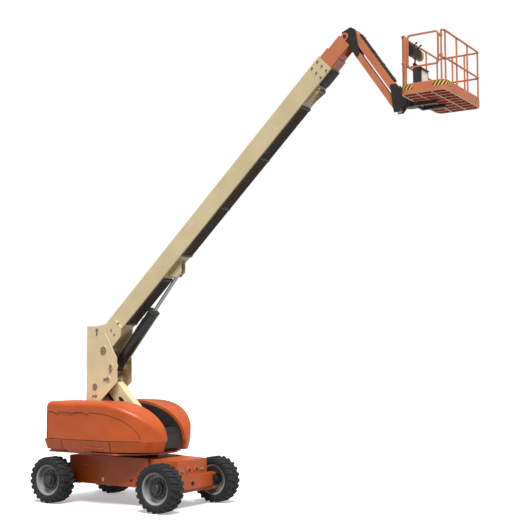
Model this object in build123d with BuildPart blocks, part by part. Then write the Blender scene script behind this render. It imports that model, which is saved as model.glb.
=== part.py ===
from build123d import *
import math
import os

os.makedirs("parts", exist_ok=True)

# Frame: origin on the ground under the slew axis, X forward, Y to the left, Z up, in mm.

# Running gear
wheel_base = 3050
track_half = 1040
tyre_radius = 515
tyre_width = 400
lug_height = 30
lug_count = 18
rim_seat_radius = 330
spindle_radius = 50
kingpin_radius = 40
kingpin_inset = 210
pin_gap = 0.05
thrust_gap = 0.5

# Chassis
chassis_bottom = 430
chassis_top = 1060
chassis_front = 1600
chassis_rear = -1420
chassis_half = 600
chassis_front_half = 545
chassis_wall = 20
pocket_front = 330
tie_down_radius = 36
tie_down_depth = 60
tow_z = 510
tie_down_z = 800
front_beam_top = 700
rear_seat_x = -1205
rear_seat_top = 650
slew_outer = 520
slew_inner = 430
slew_height = 70

# Turntable and hoods
deck_thick = 40
deck_inset = 100
foot_seat = 35
hood_bottom = 1200
hood_belt = 1430
hood_seam = 2030
hood_top = 2270
hood_rear = -1700
hood_side = 1150
slot_half = 320
hood_skin = 25
door_gap = 6
hinge_radius = 11
hinge_places = (-1400, -950, -500)
nose_x = 1165
nose_start = -250
nose_flat = -350
flank_end = -50
nose_round = 560
hood_shoulder = 110
rear_round = 140
skirt_taper = 14
cover_gap = 75
bracket_round = 75
door_front = 850
weight_front = -1200

# Tower, upright and boom pivots in the side view
tower_angle = 45
tower_length = 1760
tower_half = 110
tower_plate = 20
upper_pin = (-598, 2759)
link_pin = (-980, 2588)
boom_pin = (-740, 3420)
cylinder_pin = (-520, 3045)
upright_outer = 270
upright_plate = 25
upright_rear = -1250
upright_foot = 2215
upright_top = 3970

# Telescopic boom
boom_angle = 43.7
boom_origin = (-650, 3840)
base_width = 380
base_depth = 435
base_wall = 8
base_start = -450
base_end = 7900
slide_gap = 0.4
mid_gap = 15
mid_wall = 7
mid_start = 300
mid_end = 8135
fly_gap = 15
fly_wall = 6
fly_start = 500
fly_end = 8490
fly_notch = 235
rod_pin_s = 2250
rod_pin_drop = 360
barrel_radius = 107
rod_radius = 42

# Jib and platform
jib_angle = -55.2
jib_length = 1550
jib_pin = (5662, 9846)
link_offset = (78, -443)
level_pin = (5500, 9780)
jib_half = 85
platform_inner = 7080
platform_depth = 910
platform_width = 1830
floor_under = 8170
toe_height = 150
rail_height = 1100
rail_radius = 19
turn_x = 6880

# Values that follow from those above
wheel_z = tyre_radius
axle_x = wheel_base / 2
kingpin_y = track_half - kingpin_inset
beam_half = kingpin_y - 130
fork_y = kingpin_y - 60
rear_beam_half = track_half - 180
slew_top = chassis_top + slew_height
deck_bottom = slew_top + thrust_gap
deck_top = deck_bottom + deck_thick
deck_half = hood_side - deck_inset
hinge_y = hood_side + hinge_radius + 1
hinge_z = hood_seam
tower_c = math.cos(math.radians(tower_angle))
tower_s = math.sin(math.radians(tower_angle))
tower_foot = (upper_pin[0] + tower_length * tower_c, upper_pin[1] - tower_length * tower_s)
link_foot = (tower_foot[0] + link_pin[0] - upper_pin[0], tower_foot[1] + link_pin[1] - upper_pin[1])
boom_c = math.cos(math.radians(boom_angle))
boom_s = math.sin(math.radians(boom_angle))
jib_c = math.cos(math.radians(jib_angle))
jib_s = math.sin(math.radians(jib_angle))
mid_width = base_width - 2 * base_wall - 2 * mid_gap
mid_depth = base_depth - 2 * base_wall - 2 * mid_gap
fly_width = mid_width - 2 * mid_wall - 2 * fly_gap
fly_depth = mid_depth - 2 * mid_wall - 2 * fly_gap
upright_inner = upright_outer - upright_plate
platform_outer = platform_inner + platform_depth
platform_half = platform_width / 2
floor_top = floor_under + 45
rail_top = floor_top + rail_height


def side_plane(y):
    return Plane.XZ.offset(-y)


def boom_point(s, rise):
    return (boom_origin[0] + s * boom_c - rise * boom_s, boom_origin[1] + s * boom_s + rise * boom_c)


boom_side = Plane(origin=(boom_origin[0], 0, boom_origin[1]), x_dir=(boom_c, 0, boom_s), z_dir=(0, -1, 0))


def boom_section(s):
    x, z = boom_point(s, 0)
    return Plane(origin=(x, 0, z), x_dir=(0, 1, 0), z_dir=(boom_c, 0, boom_s))


def tower_side(point):
    return Plane(origin=(point[0], 0, point[1]), x_dir=(-tower_c, 0, tower_s), z_dir=(0, 1, 0))


def jib_side(point):
    return Plane(origin=(point[0], 0, point[1]), x_dir=(jib_c, 0, jib_s), z_dir=(0, -1, 0))


rod_pin = boom_point(rod_pin_s, -rod_pin_drop)
cylinder_angle = math.atan2(rod_pin[1] - cylinder_pin[1], rod_pin[0] - cylinder_pin[0])
cylinder_length = math.hypot(rod_pin[1] - cylinder_pin[1], rod_pin[0] - cylinder_pin[0])
cylinder_dir = (math.cos(cylinder_angle), 0, math.sin(cylinder_angle))


def cylinder_section(distance):
    x = cylinder_pin[0] + distance * cylinder_dir[0]
    z = cylinder_pin[1] + distance * cylinder_dir[2]
    return Plane(origin=(x, 0, z), x_dir=(0, 1, 0), z_dir=cylinder_dir)


# Chassis: a welded box with sloping ends, open pockets inside and tie-down holes
with BuildPart() as chassis_frame:
    with BuildSketch(Plane.XZ):
        with BuildLine():
            Polyline(
                (chassis_rear, chassis_bottom + 60),
                (chassis_rear, chassis_top - 20),
                (-700, chassis_top),
                (700, chassis_top),
                (chassis_front, chassis_top - 30),
                (chassis_front, chassis_bottom - 20),
                (chassis_rear + 200, chassis_bottom),
                close=True,
            )
        make_face()
    extrude(amount=chassis_half, both=True)
    with BuildSketch(Plane.XY.offset(chassis_bottom - 50)):
        for side in (1, -1):
            with Locations((chassis_front - 350, side * (chassis_front_half + 100))):
                Rectangle(800, 200)
    extrude(amount=800, mode=Mode.SUBTRACT)
    with BuildSketch(Plane.XY.offset(chassis_bottom + 30)):
        with Locations((chassis_rear + tie_down_depth, 0)):
            Rectangle(
                pocket_front - chassis_rear - tie_down_depth,
                2 * (chassis_half - chassis_wall),
                align=(Align.MIN, Align.CENTER),
            )
    extrude(amount=chassis_top - chassis_bottom - 75, mode=Mode.SUBTRACT)
    with BuildSketch(Plane.XY.offset(chassis_bottom - 50)):
        with Locations((-520, 0)):
            RectangleRounded(1100, 700, 80)
    extrude(amount=150, mode=Mode.SUBTRACT)
    with BuildSketch(Plane.XZ):
        with Locations((axle_x, front_beam_top)):
            Rectangle(2 * 125, 320, align=(Align.CENTER, Align.MAX))
        with Locations((rear_seat_x, rear_seat_top)):
            Rectangle(600, 400, align=(Align.MAX, Align.MAX))
    extrude(amount=700, both=True, mode=Mode.SUBTRACT)
    with BuildSketch(Plane.YZ.offset(chassis_rear)):
        with Locations((-250, tie_down_z), (250, tie_down_z)):
            Circle(tie_down_radius)
    extrude(amount=tie_down_depth, mode=Mode.SUBTRACT)
chassis_frame.part.label = "chassis_frame"
export_step(chassis_frame.part, "parts/chassis_frame.step")

# Slew bearing: the fixed race bolted on the chassis, with its bolt heads
with BuildPart() as slew_ring:
    with BuildSketch(Plane.XY.offset(chassis_top)):
        Circle(slew_outer)
        Circle(slew_inner, mode=Mode.SUBTRACT)
    extrude(amount=slew_height)
slew_ring.part.label = "slew_ring"
export_step(slew_ring.part, "parts/slew_ring.step")

# Front axle: a box beam whose forked ends carry the kingpins
with BuildPart() as front_axle:
    with BuildSketch(Plane.XZ):
        with Locations((axle_x, front_beam_top)):
            Rectangle(2 * 120, 290, align=(Align.CENTER, Align.MAX))
    extrude(amount=beam_half, both=True)
    with BuildSketch(Plane.XY.offset(640), Plane.XY.offset(340)):
        for side in (1, -1):
            with Locations((axle_x, side * fork_y)):
                RectangleRounded(180, 290, 60)
    extrude(amount=50)
    with BuildSketch(Plane.XY.offset(340)):
        with Locations((axle_x, kingpin_y), (axle_x, -kingpin_y)):
            Circle(kingpin_radius)
    extrude(amount=350)
    with BuildSketch(Plane.XZ):
        with Locations((axle_x, 400)):
            Rectangle(2 * 90, 2 * 60)
    extrude(amount=beam_half, both=True)
    with BuildSketch(Plane.YZ.offset(axle_x + 120)):
        with Locations((0, tow_z)):
            Circle(tie_down_radius)
    extrude(amount=-tie_down_depth, mode=Mode.SUBTRACT)
front_axle.part.label = "front_axle"
export_step(front_axle.part, "parts/front_axle.step")

# Rear axle: a fixed box beam with a spindle at each end
with BuildPart() as rear_axle:
    with BuildSketch(Plane.XZ):
        with Locations((-axle_x, wheel_z)):
            RectangleRounded(2 * 110, 2 * 120, 20)
    extrude(amount=rear_beam_half, both=True)
    with BuildSketch(Plane.XZ):
        with Locations((-axle_x, wheel_z)):
            Circle(150)
    extrude(amount=track_half - 60 - thrust_gap, both=True)
    with BuildSketch(Plane.XZ):
        with Locations((-axle_x, wheel_z)):
            Circle(spindle_radius)
    extrude(amount=track_half, both=True)
    with BuildSketch(Plane.XZ):
        with Locations((rear_seat_x, rear_seat_top)):
            Rectangle(435, 250, align=(Align.MAX, Align.MAX))
    extrude(amount=500, both=True)
rear_axle.part.label = "rear_axle"
export_step(rear_axle.part, "parts/rear_axle.step")

# Steering knuckle: a block turning on the kingpin, with the wheel spindle
with BuildPart() as knuckle_right:
    with BuildSketch(Plane.XY.offset(390 + thrust_gap)):
        with Locations((axle_x, -kingpin_y)):
            Circle(90)
    extrude(amount=250 - 2 * thrust_gap)
    with BuildSketch(side_plane(-kingpin_y)):
        with Locations((axle_x, wheel_z)):
            Circle(115)
    extrude(amount=track_half - 60 - thrust_gap - kingpin_y)
    with BuildSketch(side_plane(-kingpin_y)):
        with Locations((axle_x, wheel_z)):
            Circle(spindle_radius)
    extrude(amount=track_half - kingpin_y)
    with BuildSketch(Plane.XY.offset(390)):
        with Locations((axle_x, -kingpin_y)):
            Circle(kingpin_radius + pin_gap)
    extrude(amount=250, mode=Mode.SUBTRACT)
knuckle_right.part.label = "knuckle_right"
export_step(knuckle_right.part, "parts/knuckle_right.step")

with BuildPart() as knuckle_left:
    mirror(knuckle_right.part, about=Plane.XZ)
knuckle_left.part.label = "knuckle_left"
export_step(knuckle_left.part, "parts/knuckle_left.step")

# Wheel at the origin with its outer face towards -Y: tyre with heavy staggered lugs
lug_half = 34
lug_tip = math.sqrt(tyre_radius**2 - (lug_half + 30) ** 2)


def lug_plane(turn):
    a = math.radians(turn)
    return Plane(
        origin=(430 * math.cos(a), 0, 430 * math.sin(a)),
        x_dir=(0, 1, 0),
        z_dir=(math.cos(a), 0, math.sin(a)),
    )


with BuildPart() as tyre:
    with BuildSketch(Plane.XY):
        with BuildLine():
            Polyline(
                (rim_seat_radius, -150),
                (347, -150),
                (347, -168),
                (365, -180),
                (420, -192),
                (460, -186),
                (tyre_radius - lug_height, -150),
                (tyre_radius - lug_height, 150),
                (460, 186),
                (420, 192),
                (365, 180),
                (347, 168),
                (347, 150),
                (rim_seat_radius, 150),
                close=True,
            )
        make_face()
    revolve(axis=Axis.Y)
    for side, phase in ((1, 0.0), (-1, 0.5)):
        planes = [lug_plane((i + phase) * 360 / lug_count) for i in range(lug_count)]
        with BuildSketch(*planes):
            with BuildLine():
                Polyline(
                    (side * 5, -lug_half + 30),
                    (side * tyre_width / 2, -lug_half - 30),
                    (side * tyre_width / 2, lug_half - 30),
                    (side * 5, lug_half + 30),
                    close=True,
                )
            make_face()
        extrude(amount=lug_tip - 430)

# Steel rim with a deep dish
with BuildPart() as rim:
    with BuildSketch(Plane.XY):
        with BuildLine():
            Polyline(
                (rim_seat_radius, -150),
                (345, -150),
                (345, -165),
                (rim_seat_radius, -168),
                (305, -150),
                (300, -40),
                (120, -40),
                (120, -20),
                (300, -20),
                (305, 165),
                (345, 165),
                (345, 150),
                (rim_seat_radius, 150),
                close=True,
            )
        make_face()
    revolve(axis=Axis.Y)

# Planetary hub with its cover and wheel nuts
with BuildPart() as hub:
    with BuildSketch(Plane.XY):
        with BuildLine():
            Polyline(
                (0, -175),
                (85, -175),
                (100, -160),
                (105, -110),
                (140, -100),
                (145, -60),
                (225, -60),
                (225, -40),
                (120, -40),
                (120, 60),
                (spindle_radius + pin_gap, 60),
                (spindle_radius + pin_gap, -5),
                (0, -5),
                close=True,
            )
        make_face()
    revolve(axis=Axis.Y)
    with BuildSketch(side_plane(-60)):
        with PolarLocations(190, 10):
            RegularPolygon(18, 6)
    extrude(amount=20)

wheel_places = (
    ("front_right", axle_x, -1),
    ("front_left", axle_x, 1),
    ("rear_right", -axle_x, -1),
    ("rear_left", -axle_x, 1),
)
for place, x, side in wheel_places:
    for piece, shape in (("tyre", tyre), ("rim", rim), ("hub", hub)):
        with BuildPart() as wheel_piece:
            with Locations(Location((x, side * track_half, wheel_z), (0, 0, 0 if side < 0 else 180))):
                add(shape.part)
        wheel_piece.part.label = piece + "_" + place
        export_step(wheel_piece.part, "parts/" + piece + "_" + place + ".step")

# Turntable: deck plate with the inner race, slot webs and the pivot brackets of the tower
with BuildPart() as turntable_base:
    with BuildSketch(Plane.XY.offset(deck_bottom)):
        with BuildLine():
            Polyline(
                (950, -300),
                (700, -800),
                (300, -deck_half),
                (hood_rear + 60, -deck_half),
                (hood_rear + 60, deck_half),
                (300, deck_half),
                (700, 800),
                (950, 300),
                close=True,
            )
        make_face()
    extrude(amount=deck_thick)
    with BuildSketch(Plane.XY.offset(chassis_top + 15)):
        Circle(slew_inner - thrust_gap)
        Circle(slew_inner - 100, mode=Mode.SUBTRACT)
    extrude(amount=deck_bottom - chassis_top - 15)
    with BuildSketch(Plane.XY.offset(deck_top)):
        for side in (1, -1):
            with Locations((-350, side * (slot_half - 10))):
                Rectangle(2400, 20)
    extrude(amount=240)
    for inner, outer, point, width in (
        (tower_half + 5, tower_half + 35, tower_foot, 2 * bracket_round),
        (34, 58, link_foot, 110),
    ):
        for side in (1, -1):
            with BuildSketch(side_plane(-side * inner)):
                with Locations((point[0], point[1])):
                    Circle(width / 2)
                with Locations((point[0], (point[1] + deck_top) / 2 - 5)):
                    Rectangle(width, point[1] - deck_top + 10)
            extrude(amount=side * (outer - inner))
    with BuildSketch(Plane.XZ):
        with Locations(tower_foot):
            Circle(45)
    extrude(amount=tower_half + 45, both=True)
    with BuildSketch(Plane.XZ):
        with Locations(link_foot):
            Circle(30)
    extrude(amount=66, both=True)
turntable_base.part.label = "turntable_base"
export_step(turntable_base.part, "parts/turntable_base.step")

# Pod shells: outside and inside of a rounded cowl above the belt and a tapered pan below it
reach = nose_x - flank_end - nose_round
breadth = hood_side + nose_flat
flank_round = (reach**2 + breadth**2 - nose_round**2) / (2 * (breadth - nose_round))
bend_turn = math.atan2(flank_round - breadth, reach)
belt_down = Plane(origin=(0, 0, hood_belt), x_dir=(1, 0, 0), z_dir=(0, 0, -1))
pan_foot = hood_side - 8 - (hood_belt - hood_bottom) * math.tan(math.radians(skirt_taper))
cowl_shells = []
pan_shells = []
for inset in (0, hood_skin):
    back = hood_rear + inset
    roof = hood_top - inset
    tip = nose_x - inset
    flank = -hood_side + inset
    slot = -slot_half - inset
    low = hood_belt - 2 * inset
    bend_x = flank_end + reach + (nose_round - inset) * math.cos(bend_turn)
    bend_y = (nose_round - inset) * math.sin(bend_turn) - nose_flat
    with BuildPart() as cowl_shell:
        with BuildSketch(side_plane(0)):
            with BuildLine():
                Line((back, low), (back, roof - rear_round))
                RadiusArc((back, roof - rear_round), (back + rear_round, roof), rear_round)
                Line((back + rear_round, roof), (nose_start, roof))
                EllipticalCenterArc((nose_start, low), tip - nose_start, roof - low, 0, arc_size=90)
                Line((tip, low), (back, low))
            make_face()
        extrude(amount=-flank)
        with BuildSketch(Plane.XY.offset(low)):
            with BuildLine():
                Line((back, 0), (back, flank))
                Line((back, flank), (flank_end, flank))
                RadiusArc((flank_end, flank), (bend_x, -bend_y), inset - flank_round)
                RadiusArc((bend_x, -bend_y), (tip, nose_flat), inset - nose_round)
                Line((tip, nose_flat), (tip, 0))
                Line((tip, 0), (back, 0))
            make_face()
        extrude(amount=roof - low, mode=Mode.INTERSECT)
        roof_edges = cowl_shell.edges().filter_by(lambda e: e.center().Z > hood_belt + 10)
        flank_edges = roof_edges.filter_by(lambda e: abs(e.center().Y - flank) < 1 and e.center().X < flank_end - 1)
        nose_edges = roof_edges.filter_by(lambda e: e.center().X > flank_end + 1 and e.center().Y < slot - 100)
        fillet(flank_edges + nose_edges, hood_shoulder - inset)
        with BuildSketch(Plane.XY.offset(low)):
            Rectangle(3 * nose_x, -2 * slot)
        extrude(amount=roof - low, mode=Mode.SUBTRACT)
    cowl_shells.append(cowl_shell.part)
    with BuildPart() as pan_shell:
        with BuildSketch(belt_down):
            with BuildLine():
                Line((back, -slot), (back, -flank))
                Line((back, -flank), (flank_end, -flank))
                RadiusArc((flank_end, -flank), (bend_x, bend_y), flank_round - inset)
                RadiusArc((bend_x, bend_y), (tip, -nose_flat), nose_round - inset)
                Line((tip, -nose_flat), (tip, -slot))
                Line((tip, -slot), (back, -slot))
            make_face()
        extrude(amount=hood_belt - hood_bottom, taper=skirt_taper)
    pan_shells.append(pan_shell.part)

# Counterweight: one heavy casting at each rear corner, upper part inside the hood
with BuildPart() as counterweight_right:
    add(pan_shells[0])
    with BuildSketch(Plane.XY.offset(hood_bottom)):
        with Locations((weight_front, 0)):
            Rectangle(weight_front - hood_rear, 3 * hood_side, align=(Align.MAX, Align.CENTER))
    extrude(amount=hood_belt - hood_bottom, mode=Mode.INTERSECT)
    with BuildSketch(Plane.XY.offset(deck_top)):
        with Locations(((hood_rear + weight_front) / 2 + 40, -(slot_half + hood_side) / 2)):
            Rectangle(380, hood_side - slot_half - 220)
    extrude(amount=hood_belt + 410 - deck_top)
counterweight_right.part.label = "counterweight_right"
export_step(counterweight_right.part, "parts/counterweight_right.step")

with BuildPart() as counterweight_left:
    mirror(counterweight_right.part, about=Plane.XZ)
counterweight_left.part.label = "counterweight_left"
export_step(counterweight_left.part, "parts/counterweight_left.step")

# Skirt: the pressed lower panel of each pod, between counterweight and nose, with its foot on the deck
with BuildPart() as skirt_right:
    add(pan_shells[0])
    add(pan_shells[1], mode=Mode.SUBTRACT)
    with BuildSketch(Plane.XY.offset(hood_bottom)):
        with Locations((weight_front + door_gap, 0)):
            Rectangle(3 * nose_x, 3 * hood_side, align=(Align.MIN, Align.CENTER))
    extrude(amount=hood_belt - hood_bottom, mode=Mode.INTERSECT)
    with BuildSketch(Plane.XY.offset(deck_top)):
        with Locations((-700, foot_seat - deck_half)):
            Rectangle(700, pan_foot - deck_half + foot_seat, align=(Align.CENTER, Align.MAX))
    extrude(amount=hood_bottom + 30 - deck_top)
skirt_right.part.label = "skirt_right"
export_step(skirt_right.part, "parts/skirt_right.step")

with BuildPart() as skirt_left:
    mirror(skirt_right.part, about=Plane.XZ)
skirt_left.part.label = "skirt_left"
export_step(skirt_left.part, "parts/skirt_left.step")

# Hood: rounded cowl of each pod, hollow and open below, with the door opening in its side
with BuildPart() as hood_right:
    add(cowl_shells[0])
    add(cowl_shells[1], mode=Mode.SUBTRACT)
    with BuildSketch(side_plane(-hood_side + 350)):
        with BuildLine():
            Line((hood_rear + 100, hood_belt), (hood_rear + 100, hood_seam))
            Line((hood_rear + 100, hood_seam), (nose_start, hood_seam))
            EllipticalCenterArc(
                (nose_start, hood_belt), door_front - nose_start, hood_seam - hood_belt, 0, arc_size=90
            )
            Line((door_front, hood_belt), (hood_rear + 100, hood_belt))
        make_face()
    extrude(amount=500, mode=Mode.SUBTRACT)
    for x in hinge_places:
        with BuildSketch(Plane.YZ.offset(x)):
            with Locations((-hinge_y, hinge_z)):
                Circle(hinge_radius)
            with Locations((-hood_side - 5, hinge_z + 25)):
                Rectangle(10, 44)
        extrude(amount=60)
        with BuildSketch(Plane.YZ.offset(x + 60)):
            with Locations((-hinge_y, hinge_z)):
                Circle(5)
        extrude(amount=62)
hood_right.part.label = "hood_right"
export_step(hood_right.part, "parts/hood_right.step")

with BuildPart() as hood_left:
    mirror(hood_right.part, about=Plane.XZ)
hood_left.part.label = "hood_left"
export_step(hood_left.part, "parts/hood_left.step")

# Hood door: the piece of the cowl inside the opening, swings up about its top edge
door_low = hood_belt + 2 * door_gap
door_high = hood_seam - door_gap
with BuildPart() as door_right:
    add(cowl_shells[0])
    add(cowl_shells[1], mode=Mode.SUBTRACT)
    with BuildSketch(side_plane(-hood_side + 350)):
        with BuildLine():
            Line((hood_rear + 100 + door_gap, door_low), (hood_rear + 100 + door_gap, door_high))
            Line((hood_rear + 100 + door_gap, door_high), (nose_start, door_high))
            EllipticalCenterArc(
                (nose_start, door_low), door_front - door_gap - nose_start, door_high - door_low, 0, arc_size=90
            )
            Line((door_front - door_gap, door_low), (hood_rear + 100 + door_gap, door_low))
        make_face()
    extrude(amount=500, mode=Mode.INTERSECT)
    for x in hinge_places:
        with BuildSketch(Plane.YZ.offset(x + 61)):
            with Locations((-hinge_y, hinge_z)):
                Circle(hinge_radius)
            with Locations((-hood_side - 5, hinge_z - 25)):
                Rectangle(10, 44)
            with Locations((-hinge_y, hinge_z)):
                Circle(5 + pin_gap, mode=Mode.SUBTRACT)
        extrude(amount=60)
door_right.part.label = "door_right"
export_step(door_right.part, "parts/door_right.step")

with BuildPart() as door_left:
    mirror(door_right.part, about=Plane.XZ)
door_left.part.label = "door_left"
export_step(door_left.part, "parts/door_left.step")

# Slot cover: the moulded box over the hoses at the front of the slot, between the pods
cover_rear = tower_foot[0] + bracket_round + cover_gap
cover_front = nose_x - cover_gap
with BuildPart() as slot_cover:
    with BuildSketch(side_plane(0)):
        with BuildLine():
            Polyline(
                (cover_rear, deck_top),
                (cover_rear, 1700),
                ((cover_rear + 2 * cover_front) / 3 - 13, 1700),
                (cover_front, 1560),
                (cover_front, 1260),
                ((cover_rear + cover_front) / 2 - 5, deck_top),
                close=True,
            )
        make_face()
        fillet(vertices().filter_by(lambda v: v.Z > 1200), 50)
    extrude(amount=slot_half - 25, both=True)
slot_cover.part.label = "slot_cover"
export_step(slot_cover.part, "parts/slot_cover.step")

# Engine in the right pod, tanks in the left pod, as plain blocks
with BuildPart() as engine_block:
    with BuildSketch(Plane.XY.offset(deck_top)):
        with Locations((-500, -720)):
            Rectangle(900, 460)
    extrude(amount=620)
engine_block.part.label = "engine_block"
export_step(engine_block.part, "parts/engine_block.step")

with BuildPart() as tank_block:
    with BuildSketch(Plane.XY.offset(deck_top)):
        with Locations((-300, 720)):
            RectangleRounded(1000, 440, 60)
    extrude(amount=560)
tank_block.part.label = "tank_block"
export_step(tank_block.part, "parts/tank_block.step")

# Tower: an inverted channel between turntable and upright
with BuildPart() as tower_boom:
    for side in (1, -1):
        with BuildSketch(tower_side(tower_foot).offset(side * (tower_half - tower_plate))):
            with BuildLine():
                Polyline(
                    (40, 55),
                    (tower_length - 40, 55),
                    (tower_length + 60, -60),
                    (tower_length - 150, -300),
                    (250, -300),
                    (-60, -70),
                    close=True,
                )
            make_face()
            with Locations((0, 0), (tower_length, 0)):
                Circle(92)
            with Locations((0, 0), (tower_length, 0)):
                Circle(45 + pin_gap, mode=Mode.SUBTRACT)
        extrude(amount=side * tower_plate)
    with BuildSketch(tower_side(tower_foot)):
        with Locations((tower_length / 2, 45)):
            Rectangle(tower_length - 300, 20)
    extrude(amount=tower_half - tower_plate, both=True)
tower_boom.part.label = "tower_boom"
export_step(tower_boom.part, "parts/tower_boom.step")

# Parallel link that keeps the upright vertical
with BuildPart() as tower_link:
    with BuildSketch(tower_side(link_foot)):
        with Locations((tower_length / 2, 0)):
            Rectangle(tower_length, 90)
        with Locations((0, 0), (tower_length, 0)):
            Circle(60)
        Circle(30 + pin_gap, mode=Mode.SUBTRACT)
        with Locations((tower_length, 0)):
            Circle(35 + pin_gap, mode=Mode.SUBTRACT)
    extrude(amount=28, both=True)
tower_link.part.label = "tower_link"
export_step(tower_link.part, "parts/tower_link.step")

# Upright: two profiled side plates tied by a back plate and the pins
with BuildPart() as upright:
    for side in (1, -1):
        with BuildSketch(side_plane(-side * upright_inner)):
            with BuildLine():
                Polyline(
                    (upright_rear, upright_foot),
                    (upright_rear, upright_top),
                    (-940, upright_top),
                    (-710, upright_top + 45),
                    (-700, 3810),
                    (-445, 3376),
                    (-356, 3235),
                    (-335, 2693),
                    (-800, 2278),
                    (-870, upright_foot),
                    close=True,
                )
            make_face()
        extrude(amount=side * upright_plate)
    with BuildSketch(side_plane(0)):
        with Locations((upright_rear + 10, (upright_foot + upright_top) / 2)):
            Rectangle(20, upright_top - upright_foot - 160)
    extrude(amount=upright_inner, both=True)
    for point, radius in ((upper_pin, 45), (link_pin, 35), (boom_pin, 60), (cylinder_pin, 50)):
        with BuildSketch(Plane.XZ):
            with Locations(point):
                Circle(radius)
        extrude(amount=upright_outer, both=True)
    for point, radius, reach in (
        (upper_pin, 75, tower_half + 3),
        (link_pin, 60, 31),
        (boom_pin, 95, base_width / 2 + 28),
        (cylinder_pin, 85, barrel_radius + 5),
    ):
        for side in (1, -1):
            with BuildSketch(side_plane(-side * reach)):
                with Locations(point):
                    Circle(radius)
            extrude(amount=side * (upright_outer + 12 - reach))
upright.part.label = "upright"
export_step(upright.part, "parts/upright.step")

# Lift cylinder barrel on the upright and its rod
barrel_end = 1640
with BuildPart() as lift_barrel:
    with BuildSketch(Plane.XZ):
        with Locations(cylinder_pin):
            Circle(100)
    extrude(amount=70, both=True)
    with BuildSketch(cylinder_section(40)):
        Circle(barrel_radius)
    extrude(amount=barrel_end - 40)
    with BuildSketch(cylinder_section(300)):
        Circle(rod_radius + 1)
    extrude(amount=barrel_end, mode=Mode.SUBTRACT)
    with BuildSketch(Plane.XZ):
        with Locations(cylinder_pin):
            Circle(50 + pin_gap)
    extrude(amount=120, both=True, mode=Mode.SUBTRACT)
lift_barrel.part.label = "lift_barrel"
export_step(lift_barrel.part, "parts/lift_barrel.step")

with BuildPart() as lift_rod:
    with BuildSketch(cylinder_section(760)):
        Circle(rod_radius)
    extrude(amount=cylinder_length - 760 - 20)
    with BuildSketch(Plane.XZ):
        with Locations(rod_pin):
            Circle(50)
    extrude(amount=45, both=True)
lift_rod.part.label = "lift_rod"
export_step(lift_rod.part, "parts/lift_rod.step")

# Boom base section: a welded tube with rear lugs and the rod clevis below
with BuildPart() as boom_base:
    with BuildSketch(boom_section(base_start)):
        RectangleRounded(base_width, base_depth, 24)
        RectangleRounded(base_width - 2 * base_wall, base_depth - 2 * base_wall, 16, mode=Mode.SUBTRACT)
    extrude(amount=base_end - base_start)
    pin_s = (boom_pin[0] - boom_origin[0]) * boom_c + (boom_pin[1] - boom_origin[1]) * boom_s
    pin_rise = -(boom_pin[0] - boom_origin[0]) * boom_s + (boom_pin[1] - boom_origin[1]) * boom_c
    for side in (1, -1):
        with BuildSketch(boom_side.offset(side * (base_width / 2))):
            with BuildLine():
                Polyline(
                    (base_start, 60),
                    (330, 60),
                    (330, -190),
                    (170, -330),
                    (base_start + 30, -345),
                    (base_start, -300),
                    close=True,
                )
            make_face()
            with Locations((pin_s, pin_rise)):
                Circle(60 + pin_gap, mode=Mode.SUBTRACT)
        extrude(amount=side * 25)
    with BuildSketch(boom_side):
        with Locations((pin_s, pin_rise)):
            Circle(60 + pin_gap)
    extrude(amount=base_width, both=True, mode=Mode.SUBTRACT)
    for side in (1, -1):
        with BuildSketch(boom_side.offset(side * 55)):
            with BuildLine():
                Polyline(
                    (rod_pin_s - 260, -base_depth / 2 + 2),
                    (rod_pin_s + 260, -base_depth / 2 + 2),
                    (rod_pin_s + 80, -rod_pin_drop - 60),
                    (rod_pin_s - 80, -rod_pin_drop - 60),
                    close=True,
                )
            make_face()
        extrude(amount=side * 25)
boom_base.part.label = "boom_base"
export_step(boom_base.part, "parts/boom_base.step")

# Boom middle and fly sections
with BuildPart() as boom_mid:
    with BuildSketch(boom_section(mid_start)):
        RectangleRounded(mid_width, mid_depth, 20)
        RectangleRounded(mid_width - 2 * mid_wall, mid_depth - 2 * mid_wall, 13, mode=Mode.SUBTRACT)
    extrude(amount=mid_end - mid_start)
boom_mid.part.label = "boom_mid"
export_step(boom_mid.part, "parts/boom_mid.step")

# Wear collars: nylon frames that guide one boom section in the next
with BuildPart() as wear_collar_base:
    with BuildSketch(boom_section(base_end - 130)):
        RectangleRounded(base_width - 2 * base_wall, base_depth - 2 * base_wall, 16)
        RectangleRounded(mid_width + 2 * slide_gap, mid_depth + 2 * slide_gap, 20, mode=Mode.SUBTRACT)
    extrude(amount=130)
wear_collar_base.part.label = "wear_collar_base"
export_step(wear_collar_base.part, "parts/wear_collar_base.step")

with BuildPart() as wear_collar_mid:
    with BuildSketch(boom_section(mid_end - 110)):
        RectangleRounded(mid_width - 2 * mid_wall, mid_depth - 2 * mid_wall, 13)
        RectangleRounded(fly_width + 2 * slide_gap, fly_depth + 2 * slide_gap, 18, mode=Mode.SUBTRACT)
    extrude(amount=110)
wear_collar_mid.part.label = "wear_collar_mid"
export_step(wear_collar_mid.part, "parts/wear_collar_mid.step")

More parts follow.
